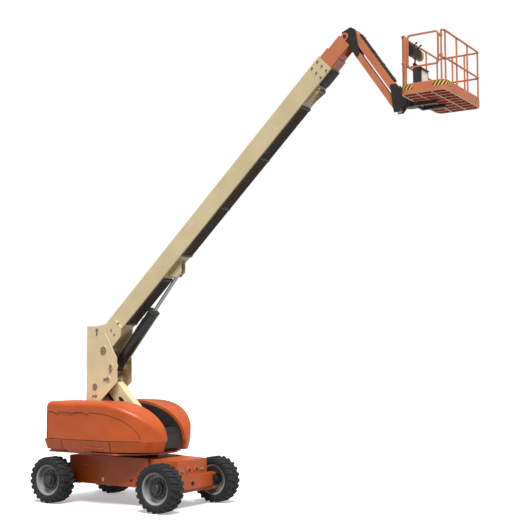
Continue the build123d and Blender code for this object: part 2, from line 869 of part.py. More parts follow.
level_s = (level_pin[0] - boom_origin[0]) * boom_c + (level_pin[1] - boom_origin[1]) * boom_s
level_rise = -(level_pin[0] - boom_origin[0]) * boom_s + (level_pin[1] - boom_origin[1]) * boom_c
with BuildPart() as boom_fly:
    with BuildSketch(boom_section(fly_start)):
        RectangleRounded(fly_width, fly_depth, 18)
        RectangleRounded(fly_width - 2 * fly_wall, fly_depth - 2 * fly_wall, 12, mode=Mode.SUBTRACT)
    extrude(amount=fly_end - fly_start)
    for side in (1, -1):
        with BuildSketch(boom_side.offset(side * (fly_width / 2 - 25))):
            with Locations((level_s, level_rise)):
                Circle(75)
            with Locations((level_s - 75, level_rise)):
                Rectangle(150, 150)
            with Locations((level_s, level_rise)):
                Circle(35 + pin_gap, mode=Mode.SUBTRACT)
        extrude(amount=side * 25)
    with BuildSketch(boom_section(fly_end - fly_notch)):
        Rectangle(2 * (fly_width / 2 - 25), fly_depth + 50)
    extrude(amount=400, mode=Mode.SUBTRACT)
boom_fly.part.label = "boom_fly"
export_step(boom_fly.part, "parts/boom_fly.step")

# Jib base: the levelled knuckle at the fly's tip
fly_inner = fly_width / 2 - 25
jib_low = (jib_pin[0] + link_offset[0], jib_pin[1] + link_offset[1])
jib_end = (jib_pin[0] + jib_length * jib_c, jib_pin[1] + jib_length * jib_s)
jib_end_low = (jib_end[0] + link_offset[0], jib_end[1] + link_offset[1])
with BuildPart() as jib_base:
    for side in (1, -1):
        with BuildSketch(side_plane(-side * (jib_half + 3))):
            with BuildLine():
                Polyline(
                    (5420, 9880),
                    (5620, 9960),
                    (5720, 9900),
                    (5810, 9400),
                    (5740, 9330),
                    (5690, 9400),
                    (5455, 9715),
                    close=True,
                )
            make_face()
        extrude(amount=side * (fly_inner - 1 - jib_half - 3))
    for point, radius, reach in (
        (level_pin, 35, fly_width / 2 + 8),
        (jib_pin, 30, jib_half + 5),
        (jib_low, 30, jib_half + 5),
    ):
        with BuildSketch(Plane.XZ):
            with Locations(point):
                Circle(radius)
        extrude(amount=reach, both=True)
jib_base.part.label = "jib_base"
export_step(jib_base.part, "parts/jib_base.step")

# Jib arm above and parallel link below
with BuildPart() as jib_arm:
    with BuildSketch(jib_side(jib_pin)):
        with Locations((jib_length / 2, 0)):
            Rectangle(jib_length, 150)
        with Locations((0, 0), (jib_length, 0)):
            Circle(75)
        with Locations((0, 0), (jib_length, 0)):
            Circle(30 + pin_gap, mode=Mode.SUBTRACT)
    extrude(amount=jib_half, both=True)
jib_arm.part.label = "jib_arm"
export_step(jib_arm.part, "parts/jib_arm.step")

with BuildPart() as jib_link:
    with BuildSketch(jib_side(jib_low)):
        with Locations((jib_length / 2, 0)):
            Rectangle(jib_length, 110)
        with Locations((0, 0), (jib_length, 0)):
            Circle(55)
        with Locations((0, 0), (jib_length, 0)):
            Circle(30 + pin_gap, mode=Mode.SUBTRACT)
    extrude(amount=jib_half, both=True)
jib_link.part.label = "jib_link"
export_step(jib_link.part, "parts/jib_link.step")

# Platform support: levelled bracket at the jib's end with the rotator housing
with BuildPart() as platform_support:
    for side in (1, -1):
        with BuildSketch(side_plane(-side * (jib_half + 3))):
            with BuildLine():
                Polyline(
                    (jib_end[0] - 60, jib_end[1] + 70),
                    (jib_end[0] + 70, jib_end[1] + 70),
                    (turn_x - 115, 8470),
                    (turn_x - 30, 8470),
                    (turn_x - 30, 8170),
                    (turn_x - 115, 8170),
                    (jib_end_low[0] + 50, jib_end_low[1] - 60),
                    (jib_end_low[0] - 60, jib_end_low[1] - 60),
                    close=True,
                )
            make_face()
        extrude(amount=side * 20)
    for point in (jib_end, jib_end_low):
        with BuildSketch(Plane.XZ):
            with Locations(point):
                Circle(30)
        extrude(amount=jib_half + 5, both=True)
    with BuildSketch(Plane.XY.offset(8160)):
        with Locations((turn_x, 0)):
            Circle(105)
    extrude(amount=320)
platform_support.part.label = "platform_support"
export_step(platform_support.part, "parts/platform_support.step")

# Platform mount: fork round the rotator and bearers under the floor
with BuildPart() as platform_mount:
    with BuildSketch(Plane.XY.offset(8480 + thrust_gap), Plane.XY.offset(8160 - thrust_gap - 25)):
        with Locations((turn_x, 0)):
            Circle(100)
        with Locations(((turn_x + platform_inner - 25) / 2, 0)):
            Rectangle(platform_inner - 25 - turn_x, 200)
    extrude(amount=25)
    with BuildSketch(Plane.YZ.offset(platform_inner - 45)):
        with Locations((0, 8320)):
            Rectangle(200, 8505.5 - 8134.5)
    extrude(amount=20)
    with BuildSketch(Plane.XY.offset(floor_under - 60)):
        with Locations((platform_inner + 200, 200), (platform_inner + 200, -200)):
            Rectangle(490, 60)
        with Locations((platform_inner - 25, 0)):
            Rectangle(40, 460)
    extrude(amount=60)
platform_mount.part.label = "platform_mount"
export_step(platform_mount.part, "parts/platform_mount.step")

# Platform floor: framed pan with toe boards and cross bars
with BuildPart() as platform_floor:
    with BuildSketch(Plane.XY.offset(floor_under)):
        with Locations((platform_inner + platform_depth / 2, 0)):
            RectangleRounded(platform_depth, platform_width, 60)
    extrude(amount=45)
    with BuildSketch(Plane.XY.offset(floor_top)):
        with Locations((platform_inner + platform_depth / 2, 0)):
            RectangleRounded(platform_depth, platform_width, 60)
            RectangleRounded(platform_depth - 8, platform_width - 8, 56, mode=Mode.SUBTRACT)
    extrude(amount=toe_height)
platform_floor.part.label = "platform_floor"
export_step(platform_floor.part, "parts/platform_floor.step")

# Guard rails: tubes standing inside the toe boards, with the gate opening at the right end
rail_inset = 8 + rail_radius
corner = 45
gate_left = platform_inner + 130
gate_right = platform_inner + 790
rail_x0 = platform_inner + rail_inset
rail_x1 = platform_outer - rail_inset
rail_y = platform_half - rail_inset
with BuildPart() as platform_rails:
    for level in (rail_top - rail_radius, floor_top + 560):
        with BuildLine(Plane.XY.offset(level)) as rail_path:
            FilletPolyline(
                (gate_left - 40, -rail_y),
                (rail_x0, -rail_y),
                (rail_x0, rail_y),
                (rail_x1, rail_y),
                (rail_x1, -rail_y),
                (gate_right + 40, -rail_y),
                radius=corner,
            )
        with BuildSketch(Plane.YZ.offset(gate_left - 40)):
            with Locations((-rail_y, level)):
                Circle(rail_radius)
        sweep(path=rail_path.line)
    with BuildSketch(Plane.XY.offset(floor_top)):
        for x in (rail_x0, rail_x1):
            for y in (-1, -0.33, 0.33, 1):
                with Locations((x, y * (rail_y - corner - 20))):
                    Circle(rail_radius - 2)
        for x, y in ((gate_left - 40, -1), (gate_right + 40, -1), (rail_x0 + 300, 1), (rail_x1 - 300, 1)):
            with Locations((x, y * rail_y)):
                Circle(rail_radius - 2)
    extrude(amount=rail_height - rail_radius)
platform_rails.part.label = "platform_rails"
export_step(platform_rails.part, "parts/platform_rails.step")

# Gate: a rounded loop of tube swinging inward on the outer post
gate_y = -platform_half + rail_inset
with BuildPart() as gate:
    with BuildSketch(side_plane(gate_y + 15)):
        with Locations(((gate_left + gate_right) / 2, rail_top - 330)):
            RectangleRounded(gate_right - gate_left - 16, 640, 70)
            RectangleRounded(gate_right - gate_left - 16 - 60, 580, 45, mode=Mode.SUBTRACT)
    extrude(amount=30)
    for level in (rail_top - 130, rail_top - 520):
        with BuildSketch(Plane.XY.offset(level)):
            with Locations((gate_right + 40, -rail_y)):
                Circle(27)
            with Locations((gate_right + 10, -rail_y)):
                Rectangle(60, 24)
            with Locations((gate_right + 40, -rail_y)):
                Circle(rail_radius - 2 + 0.3, mode=Mode.SUBTRACT)
        extrude(amount=50)
gate.part.label = "gate"
export_step(gate.part, "parts/gate.step")

# Control console on the inner rail
with BuildPart() as control_console:
    with BuildSketch(Plane.XZ.offset(120)):
        with BuildLine():
            Polyline(
                (rail_x0 + rail_radius - 2, rail_top - 420),
                (rail_x0 + rail_radius - 2, rail_top - 60),
                (platform_inner + 150, rail_top - 150),
                (platform_inner + 150, rail_top - 420),
                close=True,
            )
        make_face()
    extrude(amount=500)
control_console.part.label = "control_console"
export_step(control_console.part, "parts/control_console.step")
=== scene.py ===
import math

import bmesh
import bpy
from mathutils import Matrix, Vector


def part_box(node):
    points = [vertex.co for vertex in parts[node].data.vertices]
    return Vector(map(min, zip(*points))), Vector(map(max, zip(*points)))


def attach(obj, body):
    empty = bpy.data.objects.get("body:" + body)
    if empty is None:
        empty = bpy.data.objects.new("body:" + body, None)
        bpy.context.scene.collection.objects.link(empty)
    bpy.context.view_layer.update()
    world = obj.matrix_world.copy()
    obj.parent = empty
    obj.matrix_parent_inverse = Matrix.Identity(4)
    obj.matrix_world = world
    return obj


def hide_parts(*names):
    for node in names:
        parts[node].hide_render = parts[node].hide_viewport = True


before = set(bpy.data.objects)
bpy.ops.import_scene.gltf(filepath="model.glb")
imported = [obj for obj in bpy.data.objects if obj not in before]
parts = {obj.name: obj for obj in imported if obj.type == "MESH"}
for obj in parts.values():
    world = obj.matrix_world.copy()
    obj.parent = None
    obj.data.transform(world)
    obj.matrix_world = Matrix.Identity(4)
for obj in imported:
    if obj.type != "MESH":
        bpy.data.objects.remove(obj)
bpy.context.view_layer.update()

# Chassis: a box frame welded from flame-cut steel plate, blasted, primed and sprayed
# with two-pack orange enamel. Axle beams are bolted up under its ends.


def linear(hex_colour):
    channels = [int(hex_colour[i : i + 2], 16) / 255 for i in (1, 3, 5)]
    return [c / 12.92 if c <= 0.04045 else ((c + 0.055) / 1.055) ** 2.4 for c in channels] + [1.0]


def add_node(tree, kind, links=(), **settings):
    made = tree.nodes.new(kind)
    for name, value in settings.items():
        if name.startswith("in_"):
            key = name[3:]
            made.inputs[int(key) if key.isdigit() else key.replace("_", " ")].default_value = value
        else:
            setattr(made, name, value)
    for source, target in links:
        tree.links.new(source, made.inputs[target])
    return made


def new_finish(name):
    made = bpy.data.materials.new(name)
    made.use_nodes = True
    return made, made.node_tree, made.node_tree.nodes["Principled BSDF"]


# Two-pack enamel over steel: a gloss dulled in patches, with a faint orange-peel, slow colour drift
# over an arm's length, and paint rubbed thin to a paler tone along the outer edges.
def enamel(name, light, dark, rubbed, coat=0.3):
    made, tree, shader = new_finish(name)
    place = add_node(tree, "ShaderNodeTexCoord").outputs["Object"]
    drift_mm, peel_mm, haze_mm, edge_mm, chip_mm = 420, 14, 160, 7, 45
    drift = add_node(tree, "ShaderNodeTexNoise", [(place, "Vector")], in_Scale=1000 / drift_mm, in_Detail=5.0)
    drift_share = add_node(
        tree, "ShaderNodeMapRange", [(drift.outputs["Fac"], "Value")], in_From_Min=0.35, in_From_Max=0.65
    )
    tone = add_node(
        tree,
        "ShaderNodeMix",
        [(drift_share.outputs["Result"], 0)],
        data_type="RGBA",
        in_6=linear(dark),
        in_7=linear(light),
    )
    softened = add_node(tree, "ShaderNodeBevel", samples=3, in_Radius=edge_mm / 1000)
    surface = add_node(tree, "ShaderNodeNewGeometry")
    facing = add_node(
        tree,
        "ShaderNodeVectorMath",
        [(softened.outputs["Normal"], 0), (surface.outputs["Normal"], 1)],
        operation="DOT_PRODUCT",
    )
    chips = add_node(tree, "ShaderNodeTexNoise", [(place, "Vector")], in_Scale=1000 / chip_mm, in_Detail=6.0)
    turned = add_node(
        tree,
        "ShaderNodeMapRange",
        [(facing.outputs["Value"], "Value")],
        in_From_Min=0.98,
        in_From_Max=0.8,
    )
    share = add_node(
        tree,
        "ShaderNodeMath",
        [(turned.outputs["Result"], 0), (chips.outputs["Fac"], 1)],
        operation="MULTIPLY",
    )
    worn = add_node(
        tree,
        "ShaderNodeMix",
        [(share.outputs["Value"], 0), (tone.outputs[2], 6)],
        data_type="RGBA",
        in_7=linear(rubbed),
    )
    tree.links.new(worn.outputs[2], shader.inputs["Base Color"])
    haze = add_node(tree, "ShaderNodeTexNoise", [(place, "Vector")], in_Scale=1000 / haze_mm, in_Detail=3.0)
    gloss = add_node(
        tree, "ShaderNodeMapRange", [(haze.outputs["Fac"], "Value")], in_To_Min=0.32, in_To_Max=0.5
    )
    tree.links.new(gloss.outputs["Result"], shader.inputs["Roughness"])
    peel = add_node(tree, "ShaderNodeTexNoise", [(place, "Vector")], in_Scale=1000 / peel_mm, in_Detail=2.0)
    skin = add_node(
        tree, "ShaderNodeBump", [(peel.outputs["Fac"], "Height")], in_Strength=0.5, in_Distance=0.0003
    )
    tree.links.new(skin.outputs["Normal"], shader.inputs["Normal"])
    shader.inputs["Specular IOR Level"].default_value = 0.28
    shader.inputs["Coat Weight"].default_value = coat
    shader.inputs["Coat Roughness"].default_value = 0.15
    return made


def dress(material, *names):
    for name in names:
        parts[name].data.materials.clear()
        parts[name].data.materials.append(material)


orange_enamel = enamel("orange_enamel", "#b9521f", "#ac4a1b", "#cf7c4c", coat=0.08)
dress(orange_enamel, "chassis_frame", "front_axle", "rear_axle")


# Cast and forged pieces keep a satin black primer: a dry, slightly grainy skin.
# The same skin, coarser or smoother, serves rubber, moulded covers and dull metal:
# zinc plate is its pale form, a brownish grey in small clouds.
def dark_skin(name, light, dark, rough, grain_mm, depth_mm, cloud_mm=140):
    made, tree, shader = new_finish(name)
    place = add_node(tree, "ShaderNodeTexCoord").outputs["Object"]
    rough_spread = 0.1
    cloud = add_node(tree, "ShaderNodeTexNoise", [(place, "Vector")], in_Scale=1000 / cloud_mm, in_Detail=6.0)
    share = add_node(
        tree, "ShaderNodeMapRange", [(cloud.outputs["Fac"], "Value")], in_From_Min=0.3, in_From_Max=0.7
    )
    tone = add_node(
        tree,
        "ShaderNodeMix",
        [(share.outputs["Result"], 0)],
        data_type="RGBA",
        in_6=linear(dark),
        in_7=linear(light),
    )
    tree.links.new(tone.outputs[2], shader.inputs["Base Color"])
    spread = add_node(
        tree,
        "ShaderNodeMapRange",
        [(cloud.outputs["Fac"], "Value")],
        in_To_Min=rough - rough_spread,
        in_To_Max=rough + rough_spread,
    )
    tree.links.new(spread.outputs["Result"], shader.inputs["Roughness"])
    grain = add_node(tree, "ShaderNodeTexNoise", [(place, "Vector")], in_Scale=1000 / grain_mm, in_Detail=3.0)
    skin = add_node(
        tree,
        "ShaderNodeBump",
        [(grain.outputs["Fac"], "Height")],
        in_Strength=0.6,
        in_Distance=depth_mm / 1000,
    )
    tree.links.new(skin.outputs["Normal"], shader.inputs["Normal"])
    shader.inputs["Specular IOR Level"].default_value = 0.3
    return made


black_primer = dark_skin("black_primer", "#2b2a29", "#1c1b1a", 0.6, 9, 0.5)
zinc_steel = dark_skin("zinc_plated_steel", "#8d8375", "#6f675b", 0.45, 6, 0.2, cloud_mm=35)
dress(black_primer, "slew_ring", "knuckle_right", "knuckle_left", "engine_block", "tank_block")

# Lashing eyes on the front of the chassis: half rounds burnt from thick plate, each with a half-round
# opening, welded to the face between the wheels and sprayed along with it.
eye_radius, eye_hole, eye_thick, eye_sink = 0.095, 0.048, 0.03, 0.002
eye_apart, eye_z, eye_steps = 0.13, 0.80, 16
face_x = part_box("chassis_frame")[1].x


# A finished piece, from a mesh or a shape still open: it gets crisp edges and smooth rounds, one
# material, and a body to ride.
def add_piece(name, mesh, finish, body):
    if isinstance(mesh, bmesh.types.BMesh):
        mesh = to_mesh(mesh, name)
    mesh.materials.clear()
    mesh.materials.append(finish)
    mesh.shade_smooth()
    mesh.set_sharp_from_angle(angle=math.radians(32))
    made = bpy.data.objects.new(name, mesh)
    bpy.context.scene.collection.objects.link(made)
    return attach(made, body)


def to_mesh(shape, name):
    bmesh.ops.recalc_face_normals(shape, faces=shape.faces)
    mesh = bpy.data.meshes.new(name)
    shape.to_mesh(mesh)
    shape.free()
    return mesh


shape = bmesh.new()
for eye_y in (-eye_apart, eye_apart):
    rings = []
    for x in (face_x - eye_sink, face_x + eye_thick):
        outer, inner = [], []
        for a in [math.pi * i / eye_steps for i in range(eye_steps + 1)]:
            for row, radius in ((outer, eye_radius), (inner, eye_hole)):
                row.append(shape.verts.new((x, eye_y + radius * math.cos(a), eye_z + radius * math.sin(a))))
        rings.append(outer + inner[::-1])
    count = len(rings[0])
    for i in range(count):
        k = (i + 1) % count
        shape.faces.new((rings[0][i], rings[0][k], rings[1][k], rings[1][i]))
    for ring in rings:
        for i in range(eye_steps):
            shape.faces.new((ring[i], ring[i + 1], ring[count - 2 - i], ring[count - 1 - i]))
add_piece("lashing_eyes", shape, orange_enamel, "chassis")

# Slew bearing: a rolled steel ring, held down by a circle of zinc-plated hexagon bolts on washers
# through its outer race.
ring_low, ring_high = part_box("slew_ring")
ring_bolts, ring_bolt_width, ring_bolt_inset, ring_bolt_lift = 30, 0.036, 0.04, 0.001
bolt_circle = ring_high.x - ring_bolt_inset

# Repeats are set out on points by one Geometry Nodes tree: each point carries the way its
# copy faces and the way its side runs, and the copies are made real with one material.
repeat_tree = bpy.data.node_groups.new("repeat_on_points", "GeometryNodeTree")
for socket_name, kind in (
    ("Points", "NodeSocketGeometry"),
    ("Shape", "NodeSocketObject"),
    ("Finish", "NodeSocketMaterial"),
):
    repeat_tree.interface.new_socket(socket_name, in_out="INPUT", socket_type=kind)
repeat_tree.interface.new_socket("Mesh", in_out="OUTPUT", socket_type="NodeSocketGeometry")
given = add_node(repeat_tree, "NodeGroupInput")
facing = add_node(repeat_tree, "GeometryNodeInputNamedAttribute", data_type="FLOAT_VECTOR", in_Name="facing")
along = add_node(repeat_tree, "GeometryNodeInputNamedAttribute", data_type="FLOAT_VECTOR", in_Name="along")
stood = add_node(
    repeat_tree, "FunctionNodeAlignRotationToVector", [(facing.outputs["Attribute"], "Vector")], axis="Z"
)
turned = add_node(
    repeat_tree,
    "FunctionNodeAlignRotationToVector",
    [(stood.outputs["Rotation"], "Rotation"), (along.outputs["Attribute"], "Vector")],
    axis="X",
    pivot_axis="Z",
)
template = add_node(repeat_tree, "GeometryNodeObjectInfo", [(given.outputs["Shape"], "Object")])
copies = add_node(
    repeat_tree,
    "GeometryNodeInstanceOnPoints",
    [
        (given.outputs["Points"], "Points"),
        (template.outputs["Geometry"], "Instance"),
        (turned.outputs["Rotation"], "Rotation"),
    ],
)
real = add_node(repeat_tree, "GeometryNodeRealizeInstances", [(copies.outputs["Instances"], "Geometry")])
painted = add_node(
    repeat_tree,
    "GeometryNodeSetMaterial",
    [(real.outputs["Geometry"], "Geometry"), (given.outputs["Finish"], "Material")],
)
add_node(repeat_tree, "NodeGroupOutput", [(painted.outputs["Geometry"], "Mesh")])


def repeat(name, template_mesh, places, finish):
    points = bpy.data.meshes.new(name + "_points")
    points.from_pydata([spot for spot, facing, along in places], [], [])
    for label, column in (("facing", 1), ("along", 2)):
        layer = points.attributes.new(label, "FLOAT_VECTOR", "POINT")
        layer.data.foreach_set("vector", [c for row in places for c in row[column]])
    pattern = bpy.data.objects.new(name + "_pattern", template_mesh)
    host = bpy.data.objects.new(name + "_points", points)
    for made in (pattern, host):
        bpy.context.scene.collection.objects.link(made)
    modifier = host.modifiers.new("repeat", "NODES")
    modifier.node_group = repeat_tree
    sockets = {item.name: item.identifier for item in repeat_tree.interface.items_tree}
    modifier[sockets["Shape"]] = pattern
    modifier[sockets["Finish"]] = finish
    view = bpy.context.evaluated_depsgraph_get()
    mesh = bpy.data.meshes.new_from_object(host.evaluated_get(view))
    host.modifiers.clear()
    bpy.data.objects.remove(host)
    bpy.data.objects.remove(pattern)
    return mesh


# Hexagon bolt head on its washer, standing on Z, of a given width across the corners.
def bolt_head(width):
    shape = bmesh.new()
    for radius, top_radius, low, high, sides in (
        (0.72, 0.70, 0.0, 0.1, 20),
        (0.5, 0.5, 0.1, 0.4, 6),
        (0.5, 0.43, 0.4, 0.46, 6),
    ):
        bmesh.ops.create_cone(
            shape,
            cap_ends=True,
            segments=sides,
            radius1=radius * width,
            radius2=top_radius * width,
            depth=(high - low) * width,
            matrix=Matrix.Translation((0, 0, (low + high) / 2 * width)),
        )
    return to_mesh(shape, "bolt_head")


bolt_places = []
for step in range(ring_bolts):
    a = 2 * math.pi * step / ring_bolts
    spot = (bolt_circle * math.cos(a), bolt_circle * math.sin(a), ring_low.z + ring_bolt_lift)
    bolt_places.append((spot, (0, 0, 1), (-math.sin(a), math.cos(a), 0)))
ring_bolt_mesh = repeat("slew_ring_bolts", bolt_head(ring_bolt_width), bolt_places, zinc_steel)
add_piece("slew_ring_bolts", ring_bolt_mesh, zinc_steel, "chassis")

# Fittings on the chassis: on each side a blank enamelled plate, black ovals over a slot that are painted
# shade of its opening, and a zinc lashing hook on a bolted foot; bolts on the front face and black discs in
# the front beam that are painted shade of its towing hole. The rubber is matt and nearly black, the plate a
# clean white gloss.
chassis_face, chassis_front, sink = 0.6, 1.6, 0.001
plate_x, plate_z, slot_x, slot_z = -0.419, 0.541, 0.389, 0.566
hook_x, hook_z, hook_bolt_x = -0.914, 0.852, -0.885
peg_x, peg_out, peg_low, peg_high, peg_radius = -0.935, 0.040, 0.845, 0.905, 0.011
front_bolt_z, front_bolt_width = 0.803, 0.05
rubber = dark_skin("black_rubber_and_painted_shade", "#232323", "#181818", 0.75, 4, 0.3)
white_plate = enamel("white_plate", "#eceae4", "#e2e0d9", "#c9c6bd", coat=0.1)


# Outline of a plate with round corners, seven points to a corner.
def rounded_outline(middle_x, middle_z, half_x, half_z, corner):
    outline = []
    for x, z, first in ((1, 1, 0), (-1, 1, 90), (-1, -1, 180), (1, -1, 270)):
        for step in range(7):
            a = math.radians(first + step * 15)
            outline.append(
                (
                    middle_x + x * (half_x - corner) + corner * math.cos(a),
                    middle_z + z * (half_z - corner) + corner * math.sin(a),
                )
            )
    return outline


# A flat plate: its outline in the XZ plane, cut from y to y, its rims broken by a small bevel.
def add_plate(shape, outline, y_from, y_to, rim=0.002):
    near = [shape.verts.new((x, y_from, z)) for x, z in outline]
    far = [shape.verts.new((x, y_to, z)) for x, z in outline]
    faces = [shape.faces.new(near), shape.faces.new(far[::-1])]
    for i in range(len(outline)):
        k = (i + 1) % len(outline)
        faces.append(shape.faces.new((near[k], near[i], far[i], far[k])))
    edges = [*faces[0].edges, *faces[1].edges]
    bmesh.ops.bevel(shape, geom=edges, offset=rim, segments=2, affect="EDGES", profile=0.6)


# A turned bar between two points, its ends chamfered.
def add_bar(shape, start, end, radius, sides=24, chamfer=0.15):
    start, end = Vector(start), Vector(end)
    length = (end - start).length
    turn = (end - start).to_track_quat("Z", "Y").to_matrix().to_4x4()
    rings = []
    cut = chamfer * radius
    for along, share in ((0, 1 - chamfer), (cut, 1), (length - cut, 1), (length, 1 - chamfer)):
        ring = []
        for i in range(sides):
            a = 2 * math.pi * i / sides
            spot = Vector((radius * share * math.cos(a), radius * share * math.sin(a), along))
            ring.append(shape.verts.new(start + turn @ spot))
        rings.append(ring)
    for low, high in zip(rings, rings[1:]):
        for i in range(sides):
            k = (i + 1) % sides
            shape.faces.new((low[i], low[k], high[k], high[i]))
    shape.faces.new(rings[0][::-1])
    shape.faces.new(rings[-1])


plates, slot_shades, hooks = bmesh.new(), bmesh.new(), bmesh.new()
for side in (-1, 1):
    face = side * chassis_face
    inside = face - side * sink
    outline = rounded_outline(plate_x, plate_z, 0.032, 0.042, 0.006)
    add_plate(plates, outline, inside, face + side * 0.002, rim=0.0005)
    # The black ovals over the slot are painted shade of its opening.
    for half_x, half_z, stand in ((0.045, 0.020, 0.003), (0.034, 0.011, 0.006)):
        outline = rounded_outline(slot_x, slot_z, half_x, half_z, half_z - 0.001)
        add_plate(slot_shades, outline, inside, face + side * stand, rim=0.001)
    outline = rounded_outline(hook_x, hook_z, 0.060, 0.022, 0.012)
    add_plate(hooks, outline, inside, face + side * 0.008, rim=0.002)
    peg_y = face + side * peg_out
    add_bar(hooks, (peg_x, face, hook_z), (peg_x, face + side * 0.045, hook_z), peg_radius, 16)
    add_bar(hooks, (peg_x, peg_y, peg_low), (peg_x, peg_y, peg_high), peg_radius, 16)
    add_bar(hooks, (hook_bolt_x, face, hook_z), (hook_bolt_x, face + side * 0.018, hook_z), 0.014, 6)
add_piece("chassis_plates", plates, white_plate, "chassis")
add_piece("chassis_plugs", slot_shades, rubber, "chassis")
add_piece("lashing_hooks", hooks, zinc_steel, "chassis")
bolt_places = [
    ((chassis_front, y, front_bolt_z), (1, 0, 0), (0, 1, 0)) for y in (-0.395, -0.325, 0.325, 0.395)
]
front_bolts = repeat("front_bolts", bolt_head(front_bolt_width), bolt_places, zinc_steel)
add_piece("front_bolts", front_bolts, zinc_steel, "chassis")
# The black discs on the beam face are painted shade of its towing hole.
tow_hole_y, tow_hole_z, tow_hole_sink = -0.04, 0.528, 0.002
beam_face = parts["front_axle"].ray_cast((3, tow_hole_y, tow_hole_z + 0.06), (-1, 0, 0))[1].x
shape = bmesh.new()
for radius, stand in ((0.048, 0.006), (0.034, 0.010), (0.012, 0.013)):
    add_bar(shape, (beam_face - tow_hole_sink, tow_hole_y, tow_hole_z), (beam_face + stand, tow_hole_y, tow_hole_z), radius, 28)
add_piece("beam_plug", shape, rubber, "chassis")

# Wheels: foam-filled rubber tyres with two rows of heavy angled lugs, on pressed steel rims painted
# grey and bolted to black planetary hubs. The rubber is a matt charcoal with a coarse grain, the
# paint of rims and hubs a dull gloss.
wheel_places = ("front_right", "front_left", "rear_right", "rear_left")
tread_rubber = dark_skin("tread_rubber", "#2b2c2c", "#1b1c1c", 0.8, 5, 0.8, cloud_mm=90)
rim_paint = enamel("grey_rim_paint", "#949595", "#848585", "#b0b0ae", coat=0.1)
hub_paint = enamel("black_hub_paint", "#2c2c2c", "#222222", "#4a4a48", coat=0.1)
dress(rim_paint, *["rim_" + place for place in wheel_places])
dress(hub_paint, *["hub_" + place for place in wheel_places])

# Tyre in section, from the bead to the middle of the tread: distance from the middle, radius.
tyre_section = (
    (0.150, 0.341),
    (0.176, 0.344),
    (0.187, 0.356),
    (0.186, 0.372),
    (0.193, 0.378),
    (0.198, 0.410),
    (0.195, 0.440),
    (0.184, 0.465),
    (0.160, 0.486),
    (0.100, 0.493),
    (0.000, 0.495),
)
# Lug from the middle of the tread out and down the shoulder:
# distance from the middle, lean round the tyre, crest radius, half width, foot radius.
lug_section = (
    (-0.014, -0.004, 0.5135, 0.021, 0.484),
    (0.050, 0.012, 0.5130, 0.025, 0.484),
    (0.110, 0.030, 0.5120, 0.029, 0.482),
    (0.168, 0.046, 0.5085, 0.033, 0.474),
    (0.190, 0.052, 0.5000, 0.034, 0.458),
    (0.2000, 0.054, 0.4820, 0.033, 0.444),
    (0.2020, 0.054, 0.4480, 0.027, 0.415),
    (0.1960, 0.054, 0.4150, 0.018, 0.405),
)
lugs_each_side, tyre_turns = 22, 96
lug_splay, lug_round, lug_root = 0.007, 0.006, 0.42


def lug_mesh(side):
    shape = bmesh.new()
    rings = []
    for across, lean, crest, half, foot in lug_section:
        splay = half + lug_splay
        corners = ((-splay, foot), (-half, crest), (half, crest), (splay, foot))
        rings.append([shape.verts.new((lean + x, side * across, z)) for x, z in corners])
    for low, high in zip(rings, rings[1:]):
        for i in range(4):
            k = (i + 1) % 4
            shape.faces.new((low[i], low[k], high[k], high[i]))
    shape.faces.new(rings[0])
    shape.faces.new(rings[-1])
    crests = [
        e for e in shape.edges if all(v.co.z > lug_root for v in e.verts) and e.calc_face_angle(0) > 0.3
    ]
    bmesh.ops.bevel(shape, geom=crests, offset=lug_round, segments=2, affect="EDGES")
    return to_mesh(shape, "lug")


# The wheel's axis is local Y here, and a lug's own Z points out along a spoke.
lug_rows = []
for side, first in ((1, 0.0), (-1, 0.5)):
    steps = [2 * math.pi * (i + first) / lugs_each_side for i in range(lugs_each_side)]
    places = [((0, 0, 0), (math.cos(a), 0, math.sin(a)), (-math.sin(a), 0, math.cos(a))) for a in steps]
    lug_rows.append(repeat("lug_row", lug_mesh(side), places, tread_rubber))
full_section = list(tyre_section) + [(-across, radius) for across, radius in tyre_section[-2::-1]]
for place in wheel_places:
    low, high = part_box("tyre_" + place)
    shape = bmesh.new()
    rings = []
    for i in range(tyre_turns):
        a = 2 * math.pi * i / tyre_turns
        rings.append([shape.verts.new((r * math.cos(a), y, r * math.sin(a))) for y, r in full_section])
    for i in range(tyre_turns):
        here, there = rings[i], rings[(i + 1) % tyre_turns]
        for k in range(len(full_section)):
            m = (k + 1) % len(full_section)
            shape.faces.new((here[k], here[m], there[m], there[k]))
    for row in lug_rows:
        shape.from_mesh(row)
    bmesh.ops.translate(shape, verts=shape.verts, vec=(low + high) / 2)
    name = "tread_" + place
    tyre = add_piece(name, shape, tread_rubber, "wheel_" + place)
    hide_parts("tyre_" + place)

# Turntable: a thick deck plate on the slew bearing, with upright webs welded on for the tower's pivots
# and a cast counterweight bolted up at each rear corner, all in the orange enamel of the chassis.
dress(orange_enamel, "turntable_base", "counterweight_right", "counterweight_left")

# Pods: moulded cowls with lift-up doors over pressed skirts, one each side of the slot, and a black
# moulded cover at the front of the slot. Its plastic has a fine grain and a faint sheen.
for name in ("right", "left"):
    dress(orange_enamel, "skirt_" + name, "hood_" + name, "door_" + name)
cover_plastic = dark_skin("black_moulded_cover", "#222220", "#171716", 0.5, 3, 0.3)
dress(cover_plastic, "slot_cover")
